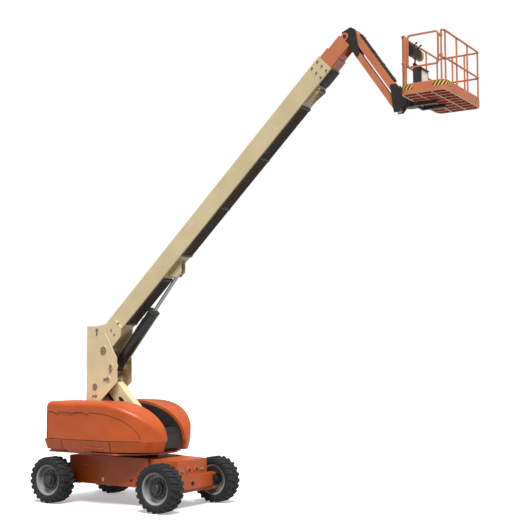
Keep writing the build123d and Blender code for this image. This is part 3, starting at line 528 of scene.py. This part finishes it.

# Pod trim: a black sheet on the wall of each pod inside the slot, cut to follow the nose, which is painted
# shade of that wall, and a moulded rubber pad at each rear corner.
hood_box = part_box("hood_right")
belt_z, crown_z, nose_start = 1.43, 2.27, -0.25
nose_reach = hood_box[1].x - nose_start
slot_wall = abs(hood_box[1].y)
shade_sheet_rear, shade_sheet_low = nose_start - 0.3, 1.26
shade_sheet_reach, shade_sheet_rise = 0.95 * nose_reach, 0.93 * (crown_z - belt_z)
shade_sheet_sink, shade_sheet_stand = 0.001, 0.009
pad_inner, pad_outer = 0.90, 1.06
pad_rear = ((-1.712, 1.352), (-1.714, 1.360), (-1.714, 1.412), (-1.708, 1.420))
pad = (*pad_rear, (-1.672, 1.420), (-1.672, 1.352))
for name, side in (("right", -1), ("left", 1)):
    shape = bmesh.new()
    wall = [(shade_sheet_rear, shade_sheet_low), (nose_start + 0.93 * nose_reach, shade_sheet_low)]
    for a in [math.radians(a) for a in range(0, 91, 6)]:
        wall.append((nose_start + shade_sheet_reach * math.cos(a), belt_z + shade_sheet_rise * math.sin(a)))
    wall.append((shade_sheet_rear, belt_z + shade_sheet_rise))
    # The black sheet laid on the slot wall is painted shade.
    edge = side * slot_wall
    add_plate(shape, wall, edge - side * shade_sheet_sink, edge - side * shade_sheet_stand)
    add_piece("slot_liner_" + name, shape, rubber, "turntable")
    shape = bmesh.new()
    add_plate(shape, pad, side * pad_inner, side * pad_outer, rim=0.008)
    add_piece("rear_pad_" + name, shape, rubber, "turntable")

# Seals and trim of the pods: a black rubber bead on the edge of each door opening, beads over
# the joints of the pan below the belt, and a welded grab bar on its flank. They lie on the shells.
seam_rear, seam_z, seam_front, seam_radius, bead_radius = -1.603, 2.034, 0.853, 0.0055, 0.008
grab_rear, grab_front, grab_z, grab_radius, grab_out = -0.50, 0.02, 1.274, 0.012, 0.03


# The point of a shell's outside at a given length and height.
def flank(node, x, z, side):
    return Vector((x, parts[node].ray_cast((x, side * 3, z), (0, -side, 0))[1].y, z))


def add_bead(shape, route, radius):
    for here, there in zip(route, route[1:]):
        add_bar(shape, here, there, radius, 8)


for name, side in (("right", -1), ("left", 1)):
    hood, skirt = "hood_" + name, "skirt_" + name
    route = [flank(hood, seam_rear, z, side) for z in (1.45, 1.60, 1.75, 1.90, seam_z)]
    route += [flank(hood, x, seam_z, side) for x in (-1.3, -0.95, -0.6)]
    for a in [math.radians(a) for a in range(90, 3, -5)]:
        x = nose_start + (seam_front - nose_start) * math.cos(a)
        route.append(flank(hood, x, belt_z + (seam_z - belt_z) * math.sin(a), side))
    shape = bmesh.new()
    add_bead(shape, route, seam_radius)
    add_piece("door_seal_" + name, shape, rubber, "turntable")
    shape = bmesh.new()
    for x in (-1.188, 0.20):
        add_bead(shape, [flank(skirt, x, z, side) for z in (1.424, 1.38, 1.32, 1.26, 1.215)], bead_radius)
    add_piece("pan_beads_" + name, shape, rubber, "turntable")
    ends = [flank(skirt, x, grab_z, side) for x in (grab_rear, grab_front)]
    out = Vector((0, side * grab_out, 0))
    shape = bmesh.new()
    add_bar(shape, ends[0] + out, ends[1] + out, grab_radius, 16)
    for end in ends:
        add_bar(shape, end - out * 0.3, end + out * 1.25, grab_radius, 16)
        add_bar(shape, end - out * 0.1, end + out * 0.2, 2 * grab_radius, 20)
    add_piece("grab_bar_" + name, shape, orange_enamel, "turntable")

# Tower and upright: channels and boxes welded from plate, with a black primed link behind them.
# Their cream enamel has a dull gloss, and is paler where the edges are rubbed.
cream_enamel = enamel("cream_enamel", "#d8c69f", "#cfbc94", "#e6dcc2", coat=0.08)
dress(cream_enamel, "tower_boom", "upright", "boom_base")
dress(black_primer, "tower_link")

# Holes of the tower: the oval access holes in its side plates are drawn as black ovals with a raised middle,
# laid on from outside, which are painted shade of the open holes.
tower_face, hole_shade_long, hole_shade_wide = 0.11, 0.125, 0.05
hole_shade_middle, tower_way = Vector((-0.310, 0, 2.265)), Vector((-0.7071, 0, 0.7071))
tower_cross, hole_shade_steps = Vector((0.7071, 0, 0.7071)), 28
# The black ovals laid on the plates are painted shade of the holes.
shape = bmesh.new()
for side in (-1, 1):
    for share, stand in ((1, 0.004), (0.82, 0.007)):
        outline = []
        for step in range(hole_shade_steps):
            a = 2 * math.pi * step / hole_shade_steps
            oval = tower_way * hole_shade_long * math.cos(a) + tower_cross * hole_shade_wide * math.sin(a)
            spot = hole_shade_middle + share * oval
            outline.append((spot.x, spot.z))
        add_plate(shape, outline, side * (tower_face - sink), side * (tower_face + stand), rim=0.002)
add_piece("tower_plugs", shape, rubber, "tower")

# Pins through the upright: turned steel ends in their bosses, the smaller ones locked by a keeper
# plate and a bolt. The worn steel is brownish and half matt, in small clouds.
# Each row: place, radius of the end, turn of the keeper, its reach, and if the pin has a boss.
upright_pins = (
    ((-0.740, 3.420), 0.086, 0, 0, True),
    ((-0.980, 2.588), 0.068, 0, 0, True),
    ((-0.520, 3.045), 0.045, -90, 0.105, True),
    ((-0.598, 2.759), 0.048, 180, 0.100, True),
    ((-0.952, 3.883), 0.040, -90, 0.090, False),
    ((-0.953, 2.367), 0.036, 180, 0.085, False),
)
pin_steel = dark_skin("worn_pin_steel", "#8f8168", "#6d614c", 0.5, 7, 0.3, cloud_mm=45)
boss_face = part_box("upright")[1].y
plate_face = 0.27
pin_sink, cap_foot, pin_stand, cap_stand, cap_share = 0.004, 0.004, 0.009, 0.013, 0.35
keeper_half, keeper_stand, keeper_bolt_width = 0.02, 0.006, 0.034
shape = bmesh.new()
keeper_places = []
for (x, z), radius, turn, reach, bossed in upright_pins:
    for side in (-1, 1):
        seat = side * (boss_face if bossed else plate_face)
        root, face, crown = seat - side * pin_sink, seat + side * pin_stand, seat + side * cap_stand
        add_bar(shape, (x, root, z), (x, face, z), radius, 36, chamfer=0.05)
        add_bar(shape, (x, seat + side * cap_foot, z), (x, crown, z), cap_share * radius, 20)
        if reach:
            cosine, sine = math.cos(math.radians(turn)), math.sin(math.radians(turn))
            end, half, top = reach + keeper_half, keeper_half, seat + side * keeper_stand
            corners = ((0, -half), (end, -half), (end, half), (0, half))
            outline = [(x + u * cosine - v * sine, z + u * sine + v * cosine) for u, v in corners]
            add_plate(shape, outline, side * (plate_face - sink), top, rim=0.003)
            spot = (x + reach * cosine, top, z + reach * sine)
            keeper_places.append((spot, (0, side, 0), (cosine, 0, sine)))
add_piece("upright_pin_ends", shape, pin_steel, "upright")
keeper_bolts = repeat("upright_keeper_bolts", bolt_head(keeper_bolt_width), keeper_places, zinc_steel)
add_piece("upright_keeper_bolts", keeper_bolts, zinc_steel, "upright")

# Lift cylinder: a drawn steel barrel in deep black paint, and a ground, hard-chromed rod that
# mirrors its surroundings through a thin dull film of oil.
barrel_paint = enamel("black_barrel_paint", "#161513", "#0f0f0e", "#3a3834", coat=0.1)
dress(barrel_paint, "lift_barrel")
hard_chrome, tree, shader = new_finish("hard_chrome")
film_mm = 60
place = add_node(tree, "ShaderNodeTexCoord").outputs["Object"]
bands = add_node(tree, "ShaderNodeTexNoise", [(place, "Vector")], in_Scale=1000 / film_mm, in_Detail=4.0)
gloss = add_node(
    tree, "ShaderNodeMapRange", [(bands.outputs["Fac"], "Value")], in_To_Min=0.16, in_To_Max=0.32
)
tree.links.new(gloss.outputs["Result"], shader.inputs["Roughness"])
film = add_node(
    tree,
    "ShaderNodeMix",
    [(bands.outputs["Fac"], 0)],
    data_type="RGBA",
    in_6=linear("#686768"),
    in_7=linear("#807f80"),
)
tree.links.new(film.outputs[2], shader.inputs["Base Color"])
shader.inputs["Metallic"].default_value = 1.0
dress(hard_chrome, "lift_rod")

# Gland of the lift cylinder: a turned collar of blackened steel, dark and half glossy, screwed on
# the barrel's mouth with a wiper ring round the rod. Sections: distance along, radius.
cylinder_foot = Vector((-0.52, 0, 3.045))
cylinder_head = Vector((1.2254, 0, 5.1342))
cylinder_way = (cylinder_head - cylinder_foot).normalized()
barrel_radius, barrel_end, wiper_bore, collar_turns = 0.107, 1.64, 0.0435, 48
gland_steel = dark_skin("blackened_gland_steel", "#3a3936", "#262523", 0.4, 8, 0.2)
collar_section = (
    (barrel_end - 0.090, barrel_radius - 0.004),
    (barrel_end - 0.084, barrel_radius + 0.026),
    (barrel_end - 0.012, barrel_radius + 0.026),
    (barrel_end - 0.002, barrel_radius - 0.006),
    (barrel_end + 0.004, barrel_radius - 0.030),
    (barrel_end + 0.012, 0.062),
    (barrel_end + 0.020, 0.056),
    (barrel_end + 0.020, wiper_bore),
    (barrel_end - 0.040, wiper_bore),
)
# The barrel wears a pressed guard tube, drawn in at both ends to a welded ring.
guard_radius, guard_start, guard_end = 0.127, 0.17, 1.545
guard_section = (
    (guard_start, barrel_radius - 0.004),
    (guard_start, barrel_radius + 0.008),
    (guard_start + 0.05, barrel_radius + 0.010),
    (guard_start + 0.07, guard_radius),
    (guard_end - 0.012, guard_radius),
    (guard_end, guard_radius - 0.006),
    (guard_end, barrel_radius - 0.004),
)
across = cylinder_way.cross(Vector((0, 1, 0))).normalized()
for name, section, finish in (
    ("lift_gland", collar_section, gland_steel),
    ("lift_guard_tube", guard_section, barrel_paint),
):
    shape = bmesh.new()
    rings = []
    for i in range(collar_turns):
        a = 2 * math.pi * i / collar_turns
        spoke = across * math.cos(a) + Vector((0, 1, 0)) * math.sin(a)
        rings.append([shape.verts.new(cylinder_foot + cylinder_way * t + spoke * r) for t, r in section])
    for i in range(collar_turns):
        here, there = rings[i], rings[(i + 1) % collar_turns]
        for k in range(len(section)):
            m = (k + 1) % len(section)
            shape.faces.new((here[k], here[m], there[m], there[k]))
    add_piece(name, shape, finish, "lift_barrel")

# Hard pipe of the lift cylinder: a straight zinc-plated tube along the guard, turned in to a port at
# each end and held by two saddles.
pipe_side, pipe_radius = -across if across.z < 0 else across, 0.016
pipe_stand = guard_radius + pipe_radius + 0.004
pipe_start, pipe_end, saddle_half = 0.42, 1.28, 0.014


def on_pipe(along):
    return cylinder_foot + cylinder_way * along + pipe_side * pipe_stand


shape = bmesh.new()
ends = [on_pipe(along) for along in (pipe_start, pipe_end)]
add_bar(shape, ends[0], ends[1], pipe_radius, 16)
for end in ends:
    foot = end - pipe_side * (pipe_radius + 0.03)
    add_bar(shape, end + pipe_side * pipe_radius, foot, pipe_radius * 1.3, 16)
for along in (0.66, 1.04):
    saddle = on_pipe(along)
    back, fore = saddle - cylinder_way * saddle_half, saddle + cylinder_way * saddle_half
    add_bar(shape, back, fore, pipe_radius * 1.45, 16)
add_piece("lift_pipe", shape, zinc_steel, "lift_barrel")

# Boom sections: tubes folded and welded from plate, the base in cream, the two sliding sections and the jib
# in orange, guided by black collars. This orange is paler and pinker than the body's.
pale_pink_enamel = enamel("pale_pink_orange_enamel", "#cd7d58", "#c3704b", "#dfa685", coat=0.08)
dress(pale_pink_enamel, "boom_mid", "boom_fly", "jib_arm", "jib_link")
dress(black_primer, "wear_collar_base", "wear_collar_mid", "jib_base", "platform_support", "platform_mount")

# Places along the boom are measured from its origin at the upright: out along it, rise above its axis.
boom_start = Vector((-0.65, 0, 3.84))
boom_turn = math.radians(43.7)
boom_out = Vector((math.cos(boom_turn), 0, math.sin(boom_turn)))
boom_rise = Vector((-math.sin(boom_turn), 0, math.cos(boom_turn)))


def on_boom(out, rise, y):
    return boom_start + boom_out * out + boom_rise * rise + Vector((0, y, 0))


# The side view of some points, which is the outline that a plate is cut to.
def side_view(spots):
    return [(spot.x, spot.z) for spot in spots]


# Boom fastenings: zinc-plated hexagon bolts in the rear lugs, and the screws of the wear pads round
# the mouth of the base tube, two rows to each side and to the top.
base_side, lug_face, base_half_depth, boom_bolt_width = 0.19, 0.215, 0.2175, 0.038
mouth_rows = (7.62, 7.80)
boom_bolts = []
for side in (-1, 1):
    for out, rise in ((0.081, -0.034), (0.081, -0.169), (0.335, -0.063)):
        boom_bolts.append((on_boom(out, rise, side * lug_face), (0, side, 0), boom_out))
    for out in mouth_rows:
        for rise in (-0.15, 0.0, 0.15):
            boom_bolts.append((on_boom(out, rise, side * base_side), (0, side, 0), boom_out))
for out in mouth_rows:
    for y in (-0.09, 0.09):
        boom_bolts.append((on_boom(out, base_half_depth, y), boom_rise, boom_out))
base_bolts = repeat("boom_base_bolts", bolt_head(boom_bolt_width), boom_bolts, zinc_steel)
add_piece("boom_base_bolts", base_bolts, zinc_steel, "boom_base")

# Guide under the boom's mouth: two cheeks cut from plate and welded on, with a dark steel roller on a pin
# between them, and a dark block along the underside behind the mouth that is painted shade of that underside.
guide_out, guide_drop, guide_half, cheek_thick = 7.385, 0.262, 0.115, 0.012
cheek = (
    (guide_out - 0.41, -base_half_depth + sink),
    (guide_out + 0.05, -base_half_depth + sink),
    (guide_out + 0.045, -guide_drop - 0.014),
    (guide_out - 0.01, -guide_drop - 0.034),
    (guide_out - 0.06, -guide_drop - 0.020),
)
shape = bmesh.new()
for side in (-1, 1):
    outline = side_view([on_boom(out, rise, 0) for out, rise in cheek])
    add_plate(shape, outline, side * guide_half, side * (guide_half + cheek_thick))
add_piece("guide_cheeks", shape, cream_enamel, "boom_base")
shape = bmesh.new()
for half, radius in ((0.113, 0.034), (0.135, 0.014)):
    ends = [on_boom(guide_out, -guide_drop, y) for y in (-half, half)]
    add_bar(shape, ends[0], ends[1], radius, 28, chamfer=0.1)
add_piece("guide_roller", shape, gland_steel, "boom_base")
# The dark block under the mouth is painted shade of the underside.
block = ((7.47, 0.0), (7.89, 0.0), (7.89, -0.028), (7.55, -0.028), (7.47, -0.012))
block_half = 0.15
shape = bmesh.new()
outline = side_view([on_boom(out, drop - base_half_depth, 0) for out, drop in block])
add_plate(shape, outline, -block_half, block_half, rim=0.004)
add_piece("wear_block", shape, rubber, "boom_base")

# Hoses under the base tube: a flat row clamped against it behind and before the rod's lug, straight and held
# tight, under black steel straps. Their sheath is matt rubber in a brown-grey that is painted shade of the
# tube's underside, which the row covers.
hose_runs, row_radius, row_hoses, row_pitch = ((0.46, 1.93), (2.62, 6.93)), 0.0145, 11, 0.03
row_drop = -base_half_depth - row_radius
strap_half, strap_deep, strap_wide = 0.025, 0.0305, 0.175
shape = bmesh.new()
for step in range(row_hoses):
    y = (step - row_hoses // 2) * row_pitch
    for start, end in hose_runs:
        add_bar(shape, on_boom(start, row_drop, y), on_boom(end, row_drop, y), row_radius, 12)
# The sheath's brown-grey is painted shade of the tube's underside.
hose_sheath_shade = dark_skin("hose_sheath_painted_shade", "#4c4037", "#3b322b", 0.8, 4, 0.3)
add_piece("boom_hose_row", shape, hose_sheath_shade, "boom_base")
strap = ((-strap_half, 0.0), (strap_half, 0.0), (strap_half, -strap_deep), (-strap_half, -strap_deep))
shape = bmesh.new()
for out in (0.50, 1.89, 2.66, 4.07, 5.48, 6.89):
    outline = side_view([on_boom(out + along, drop - base_half_depth, 0) for along, drop in strap])
    add_plate(shape, outline, -strap_wide, strap_wide, rim=0.004)
add_piece("boom_hose_straps", shape, black_primer, "boom_base")

# Hoses of the jib: a row of four black rubber hoses clamped straight along the top of the arm under
# black steel straps. Places along the jib are measured as those along the boom are.
jib_turn = math.radians(-55.2)
jib_start = Vector((5.662, 0, 9.846))
jib_out = Vector((math.cos(jib_turn), 0, math.sin(jib_turn)))
jib_rise = Vector((-math.sin(jib_turn), 0, math.cos(jib_turn)))
arm_top, hose_radius, hose_start, hose_end = 0.075, 0.018, 0.12, 1.42
clamp_half, clamp_high, clamp_wide = 0.02, 0.039, 0.076


def on_jib(out, rise, y):
    return jib_start + jib_out * out + jib_rise * rise + Vector((0, y, 0))


shape = bmesh.new()
for y in (-0.054, -0.018, 0.018, 0.054):
    ends = [on_jib(out, arm_top + hose_radius, y) for out in (hose_start, hose_end)]
    add_bar(shape, ends[0], ends[1], hose_radius, 14)
add_piece("jib_hose_bundle", shape, rubber, "jib_arm")
clamp = ((-clamp_half, 0.0), (clamp_half, 0.0), (clamp_half, clamp_high), (-clamp_half, clamp_high))
shape = bmesh.new()
for out in (0.2, 0.58, 0.96, 1.34):
    outline = side_view([on_jib(out + along, arm_top + rise, 0) for along, rise in clamp])
    add_plate(shape, outline, -clamp_wide, clamp_wide, rim=0.004)
add_piece("jib_hose_straps", shape, black_primer, "jib_arm")

# Platform: bent and welded tube rails and gate in the paler, pinker orange, over a folded pan: a flat floor
# sheet on a grid of pressed ribs, inside toe boards with rounded corners.
dress(pale_pink_enamel, "platform_rails", "gate")
pan_low, pan_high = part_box("platform_floor")
pan_corner, pan_skin, pan_lip, corner_steps = 0.12, 0.004, 0.030, 9
floor_z, floor_thick = pan_low.z + 0.046, 0.006
rib_deep, rib_wide, rib_slope, rib_gap = 0.042, 0.034, 0.02, 0.056
cross_bays, long_bays = 9, 3


# The pan's outline seen from above, drawn in by a given amount.
def pan_outline(inset):
    spots = []
    round_off = pan_corner - inset
    for x, y, first in (
        (pan_high.x, pan_high.y, 0),
        (pan_low.x, pan_high.y, 90),
        (pan_low.x, pan_low.y, 180),
        (pan_high.x, pan_low.y, 270),
    ):
        centre_x = x - math.copysign(pan_corner, x - (pan_low.x + pan_high.x) / 2)
        centre_y = y - math.copysign(pan_corner, y)
        for step in range(corner_steps):
            a = math.radians(first + step * 90 / (corner_steps - 1))
            spots.append((centre_x + round_off * math.cos(a), centre_y + round_off * math.sin(a)))
    return spots


# Upright walls and flats of the pan from its under edge, up the toe board and down to the floor.
shape = bmesh.new()
wall = (
    (pan_lip, pan_low.z + 0.004),
    (pan_lip, pan_low.z),
    (0.0, pan_low.z),
    (0.0, pan_high.z - 0.003),
    (0.002, pan_high.z),
    (pan_skin, pan_high.z - 0.002),
    (pan_skin, floor_z),
)
loops = [[shape.verts.new((x, y, z)) for x, y in pan_outline(inset)] for inset, z in wall]
count = len(loops[0])
for low, high in zip(loops, loops[1:]):
    for i in range(count):
        k = (i + 1) % count
        shape.faces.new((low[i], low[k], high[k], high[i]))
under = [shape.verts.new((x, y, floor_z - floor_thick)) for x, y in pan_outline(pan_lip)]
for i in range(count):
    k = (i + 1) % count
    shape.faces.new((under[i], under[k], loops[0][k], loops[0][i]))
shape.faces.new(loops[-1])
shape.faces.new(under[::-1])
pan_mesh = to_mesh(shape, "platform_pan")


def rib_mesh(length):
    made = bmesh.new()
    half = length / 2
    outline = [(-half, 0), (-half + rib_slope, -rib_deep), (half - rib_slope, -rib_deep), (half, 0)]
    add_plate(made, outline, -rib_wide / 2, rib_wide / 2, rim=0.006)
    return to_mesh(made, "rib")


pan_middle = (pan_low + pan_high) / 2
pan_length = pan_high.y - pan_low.y
pan_depth = pan_high.x - pan_low.x
cross_places = [
    ((pan_middle.x, pan_low.y + pan_length * i / cross_bays, floor_z - 0.005), (0, 0, 1), (1, 0, 0))
    for i in range(1, cross_bays)
]
long_places = [
    ((pan_low.x + pan_depth * i / long_bays, 0, floor_z - 0.004), (0, 0, 1), (0, 1, 0))
    for i in range(1, long_bays)
]
rib_rows = [
    repeat("cross_ribs", rib_mesh(pan_depth - rib_gap), cross_places, pale_pink_enamel),
    repeat("long_ribs", rib_mesh(pan_length - rib_gap), long_places, pale_pink_enamel),
]
shape = bmesh.new()
for mesh in (pan_mesh, *rib_rows):
    shape.from_mesh(mesh)
pan = add_piece("platform_pan", to_mesh(shape, "platform_pan_ribbed"), pale_pink_enamel, "platform")
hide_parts("platform_floor")

# Hazard tape round each corner of the toe board: printed vinyl with slanting black and yellow bars,
# stuck on by hand. The yellow is scuffed paler in small clouds, and the gloss goes with it.
hazard_tape, tree, shader = new_finish("black_and_yellow_tape")
across = add_node(tree, "ShaderNodeUVMap", uv_map="tape").outputs["UV"]
slant = add_node(tree, "ShaderNodeMapping", [(across, "Vector")], in_Rotation=(0, 0, math.radians(35)))
bar_mm, scuff_mm, waves_each_unit = 60, 25, 0.314
bars = add_node(
    tree,
    "ShaderNodeTexWave",
    [(slant.outputs["Vector"], "Vector")],
    in_Scale=waves_each_unit * 1000 / bar_mm,
)
edge = add_node(
    tree, "ShaderNodeMapRange", [(bars.outputs["Fac"], "Value")], in_From_Min=0.47, in_From_Max=0.53
)
scuff = add_node(tree, "ShaderNodeTexNoise", [(across, "Vector")], in_Scale=1000 / scuff_mm, in_Detail=5.0)
yellow = add_node(
    tree,
    "ShaderNodeMix",
    [(scuff.outputs["Fac"], 0)],
    data_type="RGBA",
    in_6=linear("#d6a53a"),
    in_7=linear("#e9c463"),
)
paint = add_node(
    tree,
    "ShaderNodeMix",
    [(edge.outputs["Result"], 0), (yellow.outputs[2], 7)],
    data_type="RGBA",
    in_6=linear("#1d1611"),
)
tree.links.new(paint.outputs[2], shader.inputs["Base Color"])
matt = add_node(tree, "ShaderNodeMapRange", [(scuff.outputs["Fac"], "Value")], in_To_Min=0.4, in_To_Max=0.65)
tree.links.new(matt.outputs["Result"], shader.inputs["Roughness"])
tape_low, tape_high, tape_run, tape_stand = floor_z + 0.035, floor_z + 0.125, 0.13, 0.0012
shape = bmesh.new()
uv = shape.loops.layers.uv.new("tape")
spots = pan_outline(-tape_stand)
for corner in range(4):
    route = spots[corner_steps * corner : corner_steps * (corner + 1)]
    a, b = math.radians(90 * corner), math.radians(90 * corner + 90)
    first = Vector(route[0]) + Vector((math.sin(a), -math.cos(a))) * tape_run
    last = Vector(route[-1]) + Vector((-math.sin(b), math.cos(b))) * tape_run
    route = [first] + [Vector(spot) for spot in route] + [last]
    run = 0.0
    for here, there in zip(route, route[1:]):
        step = (there - here).length
        corners = [
            (here, tape_low, run),
            (there, tape_low, run + step),
            (there, tape_high, run + step),
            (here, tape_high, run),
        ]
        face = shape.faces.new([shape.verts.new((spot.x, spot.y, z)) for spot, z, u in corners])
        for loop, (spot, z, u) in zip(face.loops, corners):
            loop[uv].uv = (u, z)
        run += step
bmesh.ops.remove_doubles(shape, verts=shape.verts, dist=0.0002)
add_piece("hazard_tape", shape, hazard_tape, "platform")

# Console on the inner rail: a moulded black box with a sloping face, two joysticks and rows of zinc
# toggles, closed by an end panel of pale lime plastic, finely grained and half matt.
console_low, console_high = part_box("control_console")
lime_plastic = dark_skin("pale_lime_plastic", "#b9b35c", "#a39c49", 0.5, 3, 0.2)
face_back, face_drop, end_wide, end_lap = 0.03, 0.10, 0.09, 0.0005
under_rise, nose_rise = 0.10, 0.16
reach_x = console_high.x
console_side = [
    (console_low.x, console_low.z + under_rise),
    (console_low.x, console_high.z),
    (console_low.x + face_back, console_high.z),
    (reach_x, console_high.z - face_drop),
    (reach_x, console_low.z + nose_rise),
    (reach_x - face_back, console_low.z + under_rise),
]
shape = bmesh.new()
add_plate(shape, console_side, console_low.y, console_high.y - end_wide, rim=0.012)
face_run = reach_x - console_low.x - face_back
face_way = Vector((face_run, 0, -face_drop)).normalized()
face_up = Vector((face_drop, 0, face_run)).normalized()
face_middle = Vector(((console_low.x + face_back + reach_x) / 2, 0, console_high.z - face_drop / 2))
for y in (console_low.y + 0.10, console_low.y + 0.30):
    foot = face_middle + Vector((0, y, 0))
    add_bar(shape, foot - face_up * 0.002, foot + face_up * 0.014, 0.03, 20)
    add_bar(shape, foot, foot + face_up * 0.065, 0.009, 14)
    add_bar(shape, foot + face_up * 0.055, foot + face_up * 0.095, 0.019, 18, chamfer=0.4)
console = add_piece("console_box", shape, cover_plastic, "platform")
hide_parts("control_console")
toggle = bmesh.new()
add_bar(toggle, (0, 0, 0), (0, 0, 0.006), 0.010, 12)
add_bar(toggle, (0, 0, 0.004), (0.006, 0, 0.026), 0.004, 8)
toggles = [
    (face_middle + face_way * step + Vector((0, console_low.y + y, 0)), face_up, face_way)
    for step in (-0.018, 0.018)
    for y in (0.17, 0.20, 0.23, 0.37)
]
toggle_mesh = repeat("console_toggles", to_mesh(toggle, "toggle"), toggles, zinc_steel)
add_piece("console_toggles", toggle_mesh, zinc_steel, "platform")
shape = bmesh.new()
add_plate(shape, console_side, console_high.y - end_wide - end_lap, console_high.y, rim=0.014)
add_piece("console_end", shape, lime_plastic, "platform")

# Board below the console: a folded steel tray in black primer on the inner posts, with a blank white
# plate on it.
board_x, board_low, board_high, board_deep, board_skin = 7.1255, 8.45, 8.90, 0.035, 0.004
board_right, board_left = -0.42, 0.31
sheet_corner, sheet_steps = 0.02, 5
fold = [
    (board_x, board_low),
    (board_x, board_high),
    (board_x + board_deep, board_high),
    (board_x + board_deep, board_high - board_skin),
    (board_x + board_skin, board_high - board_skin),
    (board_x + board_skin, board_low + board_skin),
    (board_x + board_deep, board_low + board_skin),
    (board_x + board_deep, board_low),
]
shape = bmesh.new()
add_plate(shape, fold, board_right, board_left, rim=0.001)
add_piece("inner_board", shape, black_primer, "platform")
outline = []
for y, z, first in ((0.285, 8.875, 0), (-0.015, 8.875, 90), (-0.015, 8.565, 180), (0.285, 8.565, 270)):
    middle = math.radians(first + 45)
    centre_y = y - math.copysign(sheet_corner, math.cos(middle))
    centre_z = z - math.copysign(sheet_corner, math.sin(middle))
    for step in range(sheet_steps):
        a = math.radians(first + step * 90 / (sheet_steps - 1))
        outline.append((centre_y + sheet_corner * math.cos(a), centre_z + sheet_corner * math.sin(a)))
shape = bmesh.new()
add_plate(shape, outline, -board_x - 0.0035, -board_x - 0.0065, rim=0.0008)
bmesh.ops.rotate(shape, verts=shape.verts, matrix=Matrix.Rotation(math.radians(90), 3, "Z"))
add_piece("blank_plate", shape, white_plate, "platform")

# Latch post: a folded channel in the paler, pinker orange, welded upright inside the corner post beside the
# gate, from the floor to the top rail.
post_back, post_front, post_top = 7.135, 7.205, 9.275
post_outer, post_inner = -0.893, -0.858
post = [
    (post_back, floor_z),
    (post_front, floor_z),
    (post_front, post_top),
    (post_back + 0.02, post_top),
    (post_back, post_top - 0.055),
]
shape = bmesh.new()
add_plate(shape, post, post_outer, post_inner, rim=0.006)
add_piece("latch_post", shape, pale_pink_enamel, "platform")

# Stage: a plain pale floor that keeps the shadow and looks white to the camera and in reflections,
# and throws a darker light back at the machine's underside.
bpy.ops.mesh.primitive_plane_add(size=400, location=(0, 0, -0.002))
floor = bpy.context.object
floor.name = "floor"
pale_floor, tree, shader = new_finish("pale_floor")
tree.nodes.remove(shader)
rays = add_node(tree, "ShaderNodeLightPath")
mirrored = add_node(
    tree,
    "ShaderNodeMath",
    [(rays.outputs["Is Camera Ray"], 0), (rays.outputs["Is Glossy Ray"], 1)],
    operation="MAXIMUM",
)
seen = add_node(
    tree,
    "ShaderNodeMath",
    [(mirrored.outputs["Value"], 0), (rays.outputs["Is Transmission Ray"], 1)],
    operation="MAXIMUM",
)
grey = add_node(tree, "ShaderNodeBsdfDiffuse", in_Color=linear("#626262"))
white = add_node(tree, "ShaderNodeBsdfDiffuse", in_Color=linear("#e2e2e2"))
lift = add_node(tree, "ShaderNodeEmission", in_Color=(1, 1, 1, 1), in_Strength=0.36)
pale = add_node(tree, "ShaderNodeAddShader", [(white.outputs["BSDF"], 0), (lift.outputs["Emission"], 1)])
shown = add_node(
    tree,
    "ShaderNodeMixShader",
    [(seen.outputs["Value"], 0), (grey.outputs["BSDF"], 1), (pale.outputs["Shader"], 2)],
)
tree.links.new(shown.outputs["Shader"], tree.nodes["Material Output"].inputs["Surface"])
floor.data.materials.append(pale_floor)

# Surround and lamp: a white background with a wide even light, and one soft lamp high on the left
# whose broad disc gives the shadow a blurred edge.
world = bpy.data.worlds.new("surround")
bpy.context.scene.world = world
world.use_nodes = True
tree = world.node_tree
for old in list(tree.nodes):
    tree.nodes.remove(old)
rays = add_node(tree, "ShaderNodeLightPath")
soft = add_node(tree, "ShaderNodeBackground", in_Color=(1, 1, 1, 1), in_Strength=0.48)
white = add_node(tree, "ShaderNodeBackground", in_Color=(1, 1, 1, 1), in_Strength=1.0)
shown = add_node(
    tree,
    "ShaderNodeMixShader",
    [(rays.outputs["Is Camera Ray"], 0), (soft.outputs["Background"], 1), (white.outputs["Background"], 2)],
)
add_node(tree, "ShaderNodeOutputWorld", [(shown.outputs["Shader"], "Surface")])

lamp_data = bpy.data.lights.new("high_lamp", "SUN")
lamp_data.energy = 5.0
lamp_data.angle = math.radians(25)
lamp = bpy.data.objects.new("high_lamp", lamp_data)
bpy.context.scene.collection.objects.link(lamp)
lamp.rotation_euler = Vector((-0.33, 0.36, -0.87)).to_track_quat("-Z", "Y").to_euler()

# Camera at the photograph's viewing angle: its place, turn and focal length were fitted to points of
# the machine, with the frame taken as 525 by 530 pixels.
photo_height = 530
focal_px = 1041.0
yaw = math.radians(32.53)
pitch = math.radians(5.17)
camera_data = bpy.data.cameras.new("camera")
camera_data.sensor_fit = "VERTICAL"
camera_data.sensor_height = 24.0
camera_data.lens = focal_px / photo_height * camera_data.sensor_height
camera_data.clip_end = 1000
camera = bpy.data.objects.new("camera", camera_data)
bpy.context.scene.collection.objects.link(camera)
camera.location = (15.25, -18.55, 3.21)
camera.rotation_euler = (math.pi / 2 + pitch, 0, yaw)
bpy.context.scene.camera = camera
bpy.context.scene.view_settings.view_transform = "Standard"
